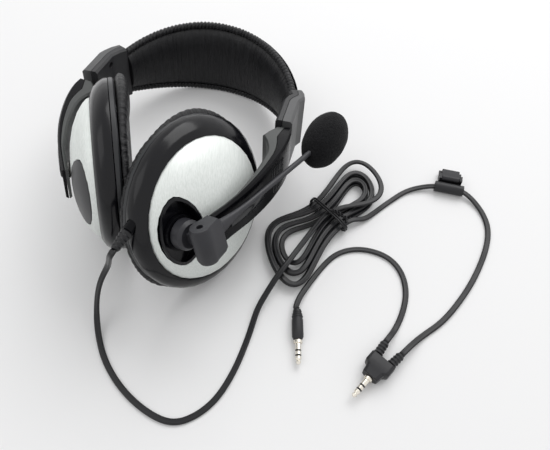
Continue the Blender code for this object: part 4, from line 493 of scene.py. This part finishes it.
CUP_ROUTE = [
    (-90.8, -53.7, 44.0), (-97.4, -56.3, 32.0), (-102.2, -60.8, 19.0), (-104.1, -68.4, 8.0),
    (-102.3, -79.5, 2.5), (-96.3, -93.2, 1.9), (-85.4, -107.7, 1.9), (-71.3, -119.6, 1.9),
    (-56.6, -126.3, 1.9), (-44.8, -123.7, 1.9), (-32.8, -114.3, 1.9), (-23.1, -98.0, 1.9),
    (-15.7, -78.3, 1.9), (-10.5, -61.4, 4.0), (-5.4, -53.0, 7.0), (0.2, -44.2, 9.5),
    (7.5, -34.0, 10.7),
]
CLIP_ROUTE = [
    (58.5, 2.6, 3.6), (66.0, 8.8, 1.9), (78.1, 18.5, 1.9), (92.0, 27.5, 2.4), (109.0, 29.4, 4.6),
    (118.5, 27.0, 4.6), (128.0, 24.6, 4.6),
    (137.0, 13.1, 2.4), (140.0, -1.2, 1.9), (136.3, -16.5, 1.9), (127.0, -34.6, 1.9),
    (115.0, -51.7, 1.9), (100.0, -67.9, 1.9), (85.0, -78.5, 2.3),
]
LINK_ROUTE = [
    (69.0, -76.0, 2.4), (75.0, -66.0, 1.9), (80.0, -51.0, 1.9), (79.0, -36.0, 1.9),
    (71.0, -24.5, 1.9), (55.0, -19.0, 1.9), (39.5, -22.5, 1.9), (27.0, -35.4, 1.9),
    (18.7, -47.6, 2.4),
]
HANK_PLACE = Vector((35.0, 4.0, 0.0)) * MM
HANK_TURN = math.radians(45.0)
HANK_LOW = 2.6 * MM
HANK_RISE = 3.0 * MM


def eased(value):
    share = min(1.0, max(0.0, value))
    return share * share * (3.0 - 2.0 * share)


def hank_frame():
    """Axes of the hank on the table: X along it, Y across."""
    frame = Matrix.Rotation(HANK_TURN, 4, "Z")
    frame.translation = Vector((HANK_PLACE.x + TABLE.x, HANK_PLACE.y + TABLE.y, 0.0))
    return frame


def hank_route(per_loop=60):
    """The hank's loops, drawn in at the waist: in over the lower layer, up, and out again."""
    points = []
    for step in range(5 * per_loop + per_loop // 24 + 1):
        turns = step / per_loop
        depth = min(turns, 5.5 - turns) - 0.25
        height = HANK_LOW + HANK_RISE * eased((turns - 2.75) / 0.5 + 0.5)
        if turns < 0.75:
            depth = 2.6 - 3.05 * eased(turns / 0.22)
            depth += 0.95 * eased((turns - 0.42) / 0.33)
            height = HANK_LOW + 2.0 * HANK_RISE * (1.0 - eased((turns - 0.17) / 0.4))
        angle = math.radians(270.0) + 2.0 * math.pi * turns
        cosine = math.cos(angle)
        right = (1.0 + math.tanh(3.0 * cosine)) / 2.0
        length = 52.8 - 7.3 * right - depth * 4.5
        lobe = 23.8 - 6.8 * right - depth * (5.7 - 1.0 * right)
        waist = 12.4 - depth * 4.6
        across = math.sin(angle) * (waist + 2.0 * (math.sqrt(2.0) * lobe - waist) * cosine * cosine)
        along = length * cosine + (0.42 - 0.07 * right) * across
        points.append(Vector((along * MM, across * MM, height)))
    place = hank_frame()
    return [place @ point for point in points]


def lead(tip, out, distance):
    return tip + out.normalized() * distance * MM


def build_cords():
    relief_out = CUP_RIGHT.to_3x3() @ Vector((-math.cos(CORD_DROOP), -math.sin(CORD_DROOP), 0.0))
    relief_tip = Vector((-35.61, -99.85, 71.54)) * MM
    hank = hank_route()
    knots = [relief_tip, lead(relief_tip, relief_out, 3.5)]
    knots += [table_point(*point) for point in CUP_ROUTE]
    first = smooth_curve(knots + [lead(hank[0], hank[0] - hank[1], 6.0), hank[0]])
    clip_end = Vector((115.34, -130.09, 4.96)) * MM
    plug_way = Vector((0.731, 0.682, 0.0))
    knots = [hank[-1], lead(hank[-1], hank[-1] - hank[-2], 4.0)]
    knots += [table_point(*point) for point in CLIP_ROUTE]
    last = smooth_curve(knots + [lead(clip_end, plug_way, 6.0), clip_end])
    path = first[:-1] + hank + last[1:]
    path = relaxed(even_points(path, int(line_length(path) / CORD_STEP)), 12)

    def roll(share):
        return CORD_ROLL * noise.noise(Vector((share * 40.0, 3.1, 0.7)))

    rings = sweep(path, twin_section(), roll)
    cord = add_mesh("cord_main", *loft(rings), JACKET, "cup_right", "cord_jacket")
    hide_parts("cord_cup", "cord_hank", "cord_clip")
    tie = build_tie()

    link_start = Vector((107.20, -122.51, 4.96)) * MM
    plug_back = Vector((57.03, -101.31, 3.56)) * MM
    knots = [link_start, lead(link_start, Vector((0.62, 0.78, 0.0)), 6.0)]
    knots += [table_point(*point) for point in LINK_ROUTE[:-1]]
    path = smooth_curve(knots + [lead(plug_back, Vector((0.0, 1.0, 0.0)), 5.0), plug_back])
    path = relaxed(even_points(path, int(line_length(path) / CORD_STEP)), 14)
    link = add_mesh("cord_link_jacket", *loft(sweep(path, twin_section())), JACKET, "cup_right",
                    "cord_jacket")
    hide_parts("cord_link")


def build_tie():
    """Coated wire round the waist, twice, with its twisted ends on top."""
    turn = hank_frame()
    high = HANK_LOW + 2.0 * HANK_RISE + 2.6 * MM
    middle = (TIE_LOW + high) / 2.0
    reach = (high - TIE_LOW) / 2.0
    points = []
    faces = []
    for offset in (-0.75, 0.75):
        path = []
        for step in range(72):
            angle = 2.0 * math.pi * step / 72
            cosine = math.cos(angle)
            sine = math.sin(angle)
            y = math.copysign(abs(cosine) ** 0.45, cosine) * TIE_HALF_WIDTH
            z = math.copysign(abs(sine) ** 0.6, sine) * reach
            slant = offset * MM + 1.6 * MM * sine * cosine
            path.append(turn @ Vector((slant, y, middle + z)))
        rings = sweep(path + [path[0]], round_section(TIE_RADIUS, 8))[:-1]
        join(points, faces, loft(rings, closed=True))
    for phase in (0.0, math.pi):
        path = []
        for step in range(40):
            share = step / 39
            along = -2.0 * MM + share * TIE_END_LENGTH
            swing = 5.2 * math.pi * share + phase
            wave = 0.8 * MM * (1.0 if share < 0.8 else 1.0 + (share - 0.8) * 8.0)
            base = Vector((2.0 * MM + along * 0.25, -along * 0.9 - 3.0 * MM,
                           high + 0.9 * MM - 3.4 * MM * share * share))
            sway = Vector((math.cos(swing) * wave, 0.0, math.sin(swing) * wave))
            path.append(turn @ (base + sway))
        join(points, faces, loft(sweep(path, round_section(TIE_END_RADIUS, 8))))
    tie = add_mesh("tie_wire", points, faces, JACKET, "cup_right", "black_plastic")
    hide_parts("twist_tie")
    return tie


# ---------------------------------------------------------------- soft goods

def puff(piece, pins, pressure, frames, cap):
    """Inflates a cushion a little with cloth simulation; the pinned seams stay put."""
    group = piece.vertex_groups.new(name="seams")
    for index, weight in pins.items():
        group.add([index], weight, "REPLACE")
    rest = [vertex.co.copy() for vertex in piece.data.vertices]
    modifier = piece.modifiers.new("puff", "CLOTH")
    settings = modifier.settings
    settings.quality = 6
    settings.mass = 0.15
    settings.tension_stiffness = 12.0
    settings.compression_stiffness = 12.0
    settings.bending_stiffness = 0.4
    settings.use_pressure = True
    settings.uniform_pressure_force = pressure
    settings.vertex_group_mass = "seams"
    settings.effector_weights.gravity = 0.0
    modifier.collision_settings.use_collision = False
    scene = bpy.context.scene
    for step in range(1, frames + 1):
        scene.frame_set(step)
    solved = piece.evaluated_get(bpy.context.evaluated_depsgraph_get())
    mesh = solved.to_mesh()
    moved = [vertex.co.copy() for vertex in mesh.vertices]
    solved.to_mesh_clear()
    piece.modifiers.remove(modifier)
    piece.vertex_groups.clear()
    scene.frame_set(1)
    for vertex, start, end in zip(piece.data.vertices, rest, moved):
        step = end - start
        if step.length > cap:
            step *= cap / step.length
        vertex.co = start + step


def subdivide(piece, levels=1):
    modifier = piece.modifiers.new("smooth", "SUBSURF")
    modifier.levels = levels
    modifier.render_levels = levels


PAD_OUTER = 49.4 * MM
PAD_INNER = 27.0 * MM
PAD_TOP = -3.6 * MM
PAD_HEIGHT = 5.0 * MM
PAD_SEGMENTS = 300
PAD_OVALITY = 1.01
PAD_GATHERS = 34.0  # half the number of gathers all round
PAD_WIDER = 3.2 * MM  # fuller than the solid by this, away from the pressed side
PAD_DEEPER = 3.0 * MM
PAD_DEEPEST = 3.4 * MM
FLOOR_CLEARANCE = 0.2 * MM
PAD_SHAPE = [
    (0.955, 0.0), (0.985, 0.1), (1.0, 0.28), (0.995, 0.5), (0.965, 0.7), (0.90, 0.86),
    (0.80, 0.955), (0.68, 0.99), (0.56, 1.0), (0.44, 0.99), (0.32, 0.95), (0.20, 0.87),
    (0.10, 0.74), (0.03, 0.56), (0.0, 0.36), (0.03, 0.12), (0.06, 0.0), (0.35, 0.0), (0.65, 0.0),
]


def pleat(angle, seed):
    """Depth of the gathers round a pad: sharp valleys of uneven spacing, from 0 to 1."""
    wander = 1.6 * noise.noise(Vector((math.cos(angle) * 2.2, math.sin(angle) * 2.2, seed)))
    wave = abs(math.sin(PAD_GATHERS * angle + wander * 3.4))
    spot = Vector((math.cos(angle) * 9.0, math.sin(angle) * 9.0, seed + 4.0))
    strength = 0.62 + 0.5 * noise.noise(spot)
    return (1.0 - wave) ** 2.0 * strength


def free_side(angle, pressed):
    """0 where the two pads press on each other, 1 well away from there."""
    apart = abs((angle - pressed + math.pi) % (2.0 * math.pi) - math.pi)
    return eased((math.degrees(apart) - 32.0) / 50.0)


def build_ear_pad(side, cup, seed, pressed):
    rings = []
    uvs = []
    for step in range(PAD_SEGMENTS):
        angle = 2.0 * math.pi * step / PAD_SEGMENTS
        free = free_side(angle, pressed)
        ring = []
        for index, (out, deep) in enumerate(PAD_SHAPE):
            radius = PAD_INNER + (PAD_OUTER - PAD_INNER) * out
            radius += free * PAD_WIDER * eased((out - 0.6) / 0.4) * eased(deep / 0.3)
            height = PAD_TOP - (PAD_HEIGHT - 0.3 * MM + free * PAD_DEEPER) * deep
            ring.append(cup @ Vector((radius * PAD_OVALITY * math.cos(angle),
                                      radius * math.sin(angle), height)))
            uvs.append((step / PAD_SEGMENTS, index / len(PAD_SHAPE)))
        rings.append(ring)
    points, faces = loft(rings, closed=True)
    pad = add_mesh("ear_pad_%s_leather" % side, points, faces, PAD_LEATHER, "cup_%s" % side,
                   "leatherette", uvs)
    close_uvs(pad)
    fix_normals(pad)
    rows = len(PAD_SHAPE)
    pins = {}
    for step in range(PAD_SEGMENTS):
        angle = 2.0 * math.pi * step / PAD_SEGMENTS
        valley = pleat(angle, seed)
        for row, (out, deep) in enumerate(PAD_SHAPE):
            if deep < 0.05:
                pins[step * rows + row] = 1.0
            elif valley > 0.3 and out > 0.8:
                pins[step * rows + row] = 0.7
    puff(pad, pins, 3.0, 14, 0.5 * MM)
    inverse = cup.inverted()
    for step in range(PAD_SEGMENTS):
        angle = 2.0 * math.pi * step / PAD_SEGMENTS
        valley = pleat(angle, seed)
        inner = pleat(angle + 0.3, seed + 9.0)
        for row, (out, deep) in enumerate(PAD_SHAPE):
            vertex = pad.data.vertices[step * rows + row]
            place = inverse @ vertex.co
            if deep > 0.02:
                outer_share = eased((out - 0.5) / 0.4) * eased(deep / 0.2)
                inner_share = eased((0.4 - out) / 0.35) * eased(deep / 0.2)
                place.z += 0.7 * MM * valley * outer_share + 0.5 * MM * inner * inner_share
                pull = 1.0 - 0.020 * valley * outer_share * (1.0 - 0.4 * deep)
                place.x *= pull
                place.y *= pull
            deepest = PAD_HEIGHT + free_side(angle, pressed) * PAD_DEEPEST
            place.z = max(place.z, PAD_TOP - deepest + 0.02 * MM)
            place = cup @ place
            place.z = max(place.z, FLOOR_CLEARANCE)
            vertex.co = place
    subdivide(pad)
    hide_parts("ear_pad_%s" % side)


BAND_SPAN = 72.0 * MM
BAND_RISE = 80.5 * MM
BAND_ENDS = {"left": 1.0, "right": 1.24}  # angles from the top at which the band's skins end
BAND_MIDDLE_WIDTH = 54.5
BAND_NARROWING = 21.5
BAND_EDGE = 2.6 * MM  # the skins stop this far inside the pad's edge, under the pipings
BAND_UV = 0.076  # metres of band for each radian


def band_point(angle, inward, across):
    """A point of the band: inward is measured from the spring's middle, across along its width."""
    x = BAND_SPAN * math.sin(angle)
    y = BAND_RISE * math.cos(angle)
    normal = Vector((x / BAND_SPAN ** 2, y / BAND_RISE ** 2, 0.0)).normalized()
    lift = 2.2 * MM * max(0.0, math.cos(angle * 1.57))
    return HEADSET @ (Vector((x, y, across + lift)) - normal * inward)


def band_half_width(angle):
    share = (angle / BAND_ENDS["right" if angle > 0.0 else "left"]) ** 2
    return (BAND_MIDDLE_WIDTH - BAND_NARROWING * share) / 2.0 * MM


def band_angles(steps):
    left, right = BAND_ENDS["left"], BAND_ENDS["right"]
    return [-left + (left + right) * step / steps for step in range(steps + 1)]


def wrinkle(angle, across):
    """Small creases that run across the band."""
    broad = noise.noise(Vector((angle * 34.0, across * 90.0, 1.0)))
    fine = noise.noise(Vector((angle * 95.0, across * 60.0, 5.0)))
    return 0.35 * broad + 0.25 * fine


def build_band_pad():
    stations = band_angles(260)
    count = 17
    rings = []
    uvs = []
    for angle in stations:
        half = band_half_width(angle) - BAND_EDGE
        ring = []
        for step in range(count):
            share = -1.0 + 2.0 * step / (count - 1)
            crown = 9.0 * (1.0 - abs(share) ** 2.6 * 0.52)
            crown -= 2.6 * eased((abs(share) - 0.93) / 0.07)
            ring.append(band_point(angle, crown * MM, share * half))
            uvs.append((angle * BAND_UV, share * half))
        for share in (0.96, 0.3, -0.3, -0.96):
            ring.append(band_point(angle, 0.75 * MM, share * half))
            uvs.append((angle * BAND_UV, share * half))
        rings.append(ring)
    points, faces = loft(rings)
    pad = add_mesh("band_pad_leather", points, faces, BAND_LEATHER, "headband", "leatherette", uvs)
    fix_normals(pad)
    total = count + 4
    pins = {}
    for row, angle in enumerate(stations):
        for step in range(total):
            if step in (0, count - 1) or step >= count or row in (0, len(stations) - 1):
                pins[row * total + step] = 1.0
    puff(pad, pins, 2.0, 12, 0.35 * MM)
    for row, angle in enumerate(stations):
        fade = eased((len(stations) - 1 - row) / 6.0) * eased(row / 6.0)
        for step in range(1, count - 1):
            share = -1.0 + 2.0 * step / (count - 1)
            vertex = pad.data.vertices[row * total + step]
            inward = band_point(angle, 1.0, 0.0) - band_point(angle, 0.0, 0.0)
            edge = 0.35 + 0.65 * abs(share)
            vertex.co -= inward * 0.55 * MM * (0.5 + wrinkle(angle, share)) * fade * edge
    for vertex in pad.data.vertices:
        vertex.co.z = max(vertex.co.z, FLOOR_CLEARANCE)
    subdivide(pad)
    return pad


def build_piping(side, sign):
    """Gathered edge roll of the band: tight ribs round a core."""
    gathers = 60
    per_gather = 9
    stations = band_angles(gathers * per_gather)
    rings = []
    for index, angle in enumerate(stations):
        phase = math.pi * index / per_gather + 0.8 * noise.noise(Vector((angle * 14.0, sign, 2.0)))
        swell = abs(math.sin(phase)) ** 0.7
        radius = (1.55 + 0.95 * swell + 0.2 * noise.noise(Vector((angle * 60.0, sign, 8.0)))) * MM
        half = band_half_width(angle) - 2.4 * MM
        ring = []
        for step in range(14):
            turn = 2.0 * math.pi * step / 14
            lean = 0.8 * MM * math.cos(turn)
            ring.append(band_point(angle + lean / BAND_RISE, 3.0 * MM + radius * math.sin(turn),
                                   sign * half + radius * math.cos(turn)))
        rings.append(ring)
    points, faces = loft(rings)
    piping = add_mesh("band_piping_%s" % side, points, faces, PIPING_LEATHER, "headband",
                      "leatherette")
    fix_normals(piping)
    for vertex in piping.data.vertices:
        vertex.co.z = max(vertex.co.z, FLOOR_CLEARANCE)


def build_band_cover():
    """Outer skin of the band, tucked under the pipings."""
    stations = band_angles(220)
    rings = []
    uvs = []
    for angle in stations:
        half = band_half_width(angle) - BAND_EDGE
        ring = []
        for step in range(15):
            share = -1.0 + 2.0 * step / 14
            crown = 2.0 - 0.9 * abs(share) ** 4 + 0.25 * wrinkle(angle + 3.0, share)
            ring.append(band_point(angle, -crown * MM, share * half))
            uvs.append((angle * BAND_UV + 0.3, share * half))
        for share in (1.0, 0.3, -0.3, -1.0):
            ring.append(band_point(angle, -0.75 * MM, share * half * 0.99))
            uvs.append((angle * BAND_UV + 0.3, share * half))
        rings.append(ring)
    points, faces = loft(rings)
    cover = add_mesh("band_cover_leather", points, faces, BAND_LEATHER, "headband", "leatherette",
                     uvs)
    fix_normals(cover)
    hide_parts("band_cover")


WINDSCREEN_REACH = 111.9 * MM  # of its centre along the boom
WINDSCREEN_TURN = math.radians(25.0)
WINDSCREEN_HALF_LENGTH = 20.0
WINDSCREEN_RADIUS = 13.3


def build_windscreen():
    """Foam ball: an ellipsoid with an uneven skin."""
    rows = 56
    columns = 80
    points = [Vector((-WINDSCREEN_HALF_LENGTH, 0.0, 0.0)) * MM]
    for row in range(1, rows):
        angle = math.pi * row / rows
        for column in range(columns):
            turn = 2.0 * math.pi * column / columns
            spot = Vector((-WINDSCREEN_HALF_LENGTH * math.cos(angle),
                           WINDSCREEN_RADIUS * math.sin(angle) * math.cos(turn),
                           WINDSCREEN_RADIUS * math.sin(angle) * math.sin(turn)))
            grain = noise.noise(spot * 1.3) * 0.10 + noise.noise(spot * 0.16) * 0.35
            points.append(spot * MM * (1.0 + (grain - 0.25) / 20.0))
    points.append(Vector((WINDSCREEN_HALF_LENGTH, 0.0, 0.0)) * MM)
    faces = []
    for column in range(columns):
        ahead = (column + 1) % columns
        faces.append((0, 1 + ahead, 1 + column))
        last = 1 + (rows - 2) * columns
        faces.append((len(points) - 1, last + column, last + ahead))
        for row in range(rows - 2):
            here = 1 + row * columns
            below = here + columns
            faces.append((here + column, here + ahead, below + ahead, below + column))
    place = BOOM @ Matrix.Translation((WINDSCREEN_REACH, 0.0, 0.0))
    place = place @ Matrix.Rotation(WINDSCREEN_TURN, 4, "Z")
    screen = add_mesh("windscreen_foam", [place @ point for point in points], faces, FOAM,
                      "boom", "foam")
    fix_normals(screen)
    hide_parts("windscreen")


def build_band():
    pad = build_band_pad()
    build_piping("front", 1.0)
    build_piping("back", -1.0)
    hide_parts("band_pad")
    build_band_cover()


# ---------------------------------------------------------------- ribs on the arms

ARM_TOPS = {"left": (-1.0, 1.0), "right": (1.0, -12.0)}  # side of the headset, the arm's top in mm
ARM_RIBS = 8
ARM_RIB_SPACING = 2.0
ARM_RIB_RADIUS = 0.42 * MM  # half sunk in the arm
ARM_RIBS_BELOW_TOP = 21.0


def build_arm_ribs(side):
    """Grip ribs across the outer face of an arm, just above its inlay."""
    sign, top = ARM_TOPS[side]
    mesh = NODES["arm_%s_outer" % side].data
    surface = BVHTree.FromPolygons([vertex.co.copy() for vertex in mesh.vertices],
                                   [tuple(polygon.vertices) for polygon in mesh.polygons])
    across = HEADSET.to_3x3() @ Vector((-sign, 0.0, 0.0))
    points = []
    faces = []
    for rib in range(ARM_RIBS):
        path = []
        for step in range(15):
            height = top - ARM_RIBS_BELOW_TOP - ARM_RIB_SPACING * rib
            spot = HEADSET @ (Vector((sign * 100.0, height, -8.4 + 1.2 * step)) * MM)
            hit = surface.ray_cast(spot, across)[0]
            if hit is not None:
                path.append(hit)
        if len(path) > 3:
            join(points, faces, loft(sweep(path, round_section(ARM_RIB_RADIUS, 8))))
    ribs = add_mesh("arm_ribs_%s" % side, points, faces, INLAY, "arm_%s" % side, "gloss_plastic")
    fix_normals(ribs)


# ---------------------------------------------------------------- stage

FLOOR_SIZE = 6.0
IMAGE_WIDTH = 550.0  # pixels of the photograph
FOCAL_PIXELS = 549.4  # focal length of the fitted camera, in those pixels
SENSOR_WIDTH = 36.0
CAMERA_PLACE = Vector((0.0, -0.19541, 0.30661))
CAMERA_DOWN = 57.49  # degrees below the horizon


def background_rays(tree):
    """1 on the camera's rays and on those off metal or through glass: they see the background."""
    rays = tree.nodes.new("ShaderNodeLightPath")
    result = rays.outputs["Is Camera Ray"]
    for output in ("Is Glossy Ray", "Is Transmission Ray"):
        either = tree.nodes.new("ShaderNodeMath")
        either.operation = "MAXIMUM"
        tree.links.new(result, either.inputs[0])
        tree.links.new(rays.outputs[output], either.inputs[1])
        result = either.outputs[0]
    return result


def build_stage():
    mesh = bpy.data.meshes.new("floor")
    corners = [(-FLOOR_SIZE, -FLOOR_SIZE, 0.0), (FLOOR_SIZE, -FLOOR_SIZE, 0.0),
               (FLOOR_SIZE, FLOOR_SIZE, 0.0), (-FLOOR_SIZE, FLOOR_SIZE, 0.0)]
    mesh.from_pydata(corners, [], [(0, 1, 2, 3)])
    floor = bpy.data.objects.new("floor", mesh)
    bpy.context.scene.collection.objects.link(floor)
    n = Nodes("floor_white")
    seen = background_rays(n.tree)
    n.link(n.mix(seen, (0.70, 0.70, 0.70), (0.76, 0.76, 0.764)),
           n.shader.inputs["Base Color"])
    n.shader.inputs["Emission Color"].default_value = (1.0, 1.0, 1.0, 1.0)
    glow = n.node("ShaderNodeMapRange", {"Value": seen, "To Min": 0.0, "To Max": 0.08})
    n.link(glow.outputs["Result"], n.shader.inputs["Emission Strength"])
    n.shader.inputs["Roughness"].default_value = 0.7
    n.shader.inputs["Specular IOR Level"].default_value = 0.2
    mesh.materials.append(n.material)

    world = bpy.data.worlds.new("studio")
    bpy.context.scene.world = world
    world.use_nodes = True
    tree = world.node_tree
    background = tree.nodes["Background"]
    coords = tree.nodes.new("ShaderNodeTexCoord")
    toward = tree.nodes.new("ShaderNodeVectorMath")
    toward.operation = "DOT_PRODUCT"
    toward.inputs[1].default_value = (0.15, 0.45, 0.88)
    tree.links.new(coords.outputs["Generated"], toward.inputs[0])
    sky = tree.nodes.new("ShaderNodeMapRange")
    for socket, value in (("From Min", -0.2), ("From Max", 1.0),
                          ("To Min", 0.12), ("To Max", 0.95)):
        sky.inputs[socket].default_value = value
    tree.links.new(toward.outputs["Value"], sky.inputs["Value"])
    strength = tree.nodes.new("ShaderNodeMapRange")
    strength.inputs["To Max"].default_value = 1.0
    tree.links.new(sky.outputs["Result"], strength.inputs["To Min"])
    tree.links.new(background_rays(tree), strength.inputs["Value"])
    tree.links.new(strength.outputs["Result"], background.inputs["Strength"])
    background.inputs["Color"].default_value = (1.0, 1.0, 1.0, 1.0)


def add_area(name, place, target, size, power):
    light = bpy.data.lights.new(name, "AREA")
    light.shape = "RECTANGLE"
    light.size, light.size_y = size
    light.energy = power
    lamp = bpy.data.objects.new(name, light)
    lamp.location = place
    lamp.rotation_euler = (Vector(target) - Vector(place)).to_track_quat("-Z", "Y").to_euler()
    bpy.context.scene.collection.objects.link(lamp)


def build_light():
    add_area("key", (0.55, 0.85, 1.15), (0.0, 0.0, 0.0), (1.5, 1.0), 14.0)
    add_area("fill", (-0.9, -0.25, 1.1), (0.0, 0.0, 0.0), (0.9, 0.9), 2.5)


def build_camera():
    camera = bpy.data.objects.new("camera", bpy.data.cameras.new("camera"))
    camera.data.lens = SENSOR_WIDTH * FOCAL_PIXELS / IMAGE_WIDTH
    camera.data.sensor_width = SENSOR_WIDTH
    camera.data.clip_start = 0.01
    camera.location = CAMERA_PLACE + TABLE
    camera.rotation_euler = (math.radians(90.0 - CAMERA_DOWN), 0.0, 0.0)
    bpy.context.scene.collection.objects.link(camera)
    bpy.context.scene.camera = camera
    bpy.context.scene.view_settings.view_transform = "Standard"


build_camera()
build_cords()
finish_nodes()
build_ear_pad("left", CUP_LEFT, 1.0, math.radians(192.0))
build_ear_pad("right", CUP_RIGHT, 5.0, math.radians(150.0))
build_band()
build_windscreen()
for arm_side in ARM_TOPS:
    build_arm_ribs(arm_side)
build_stage()
build_light()
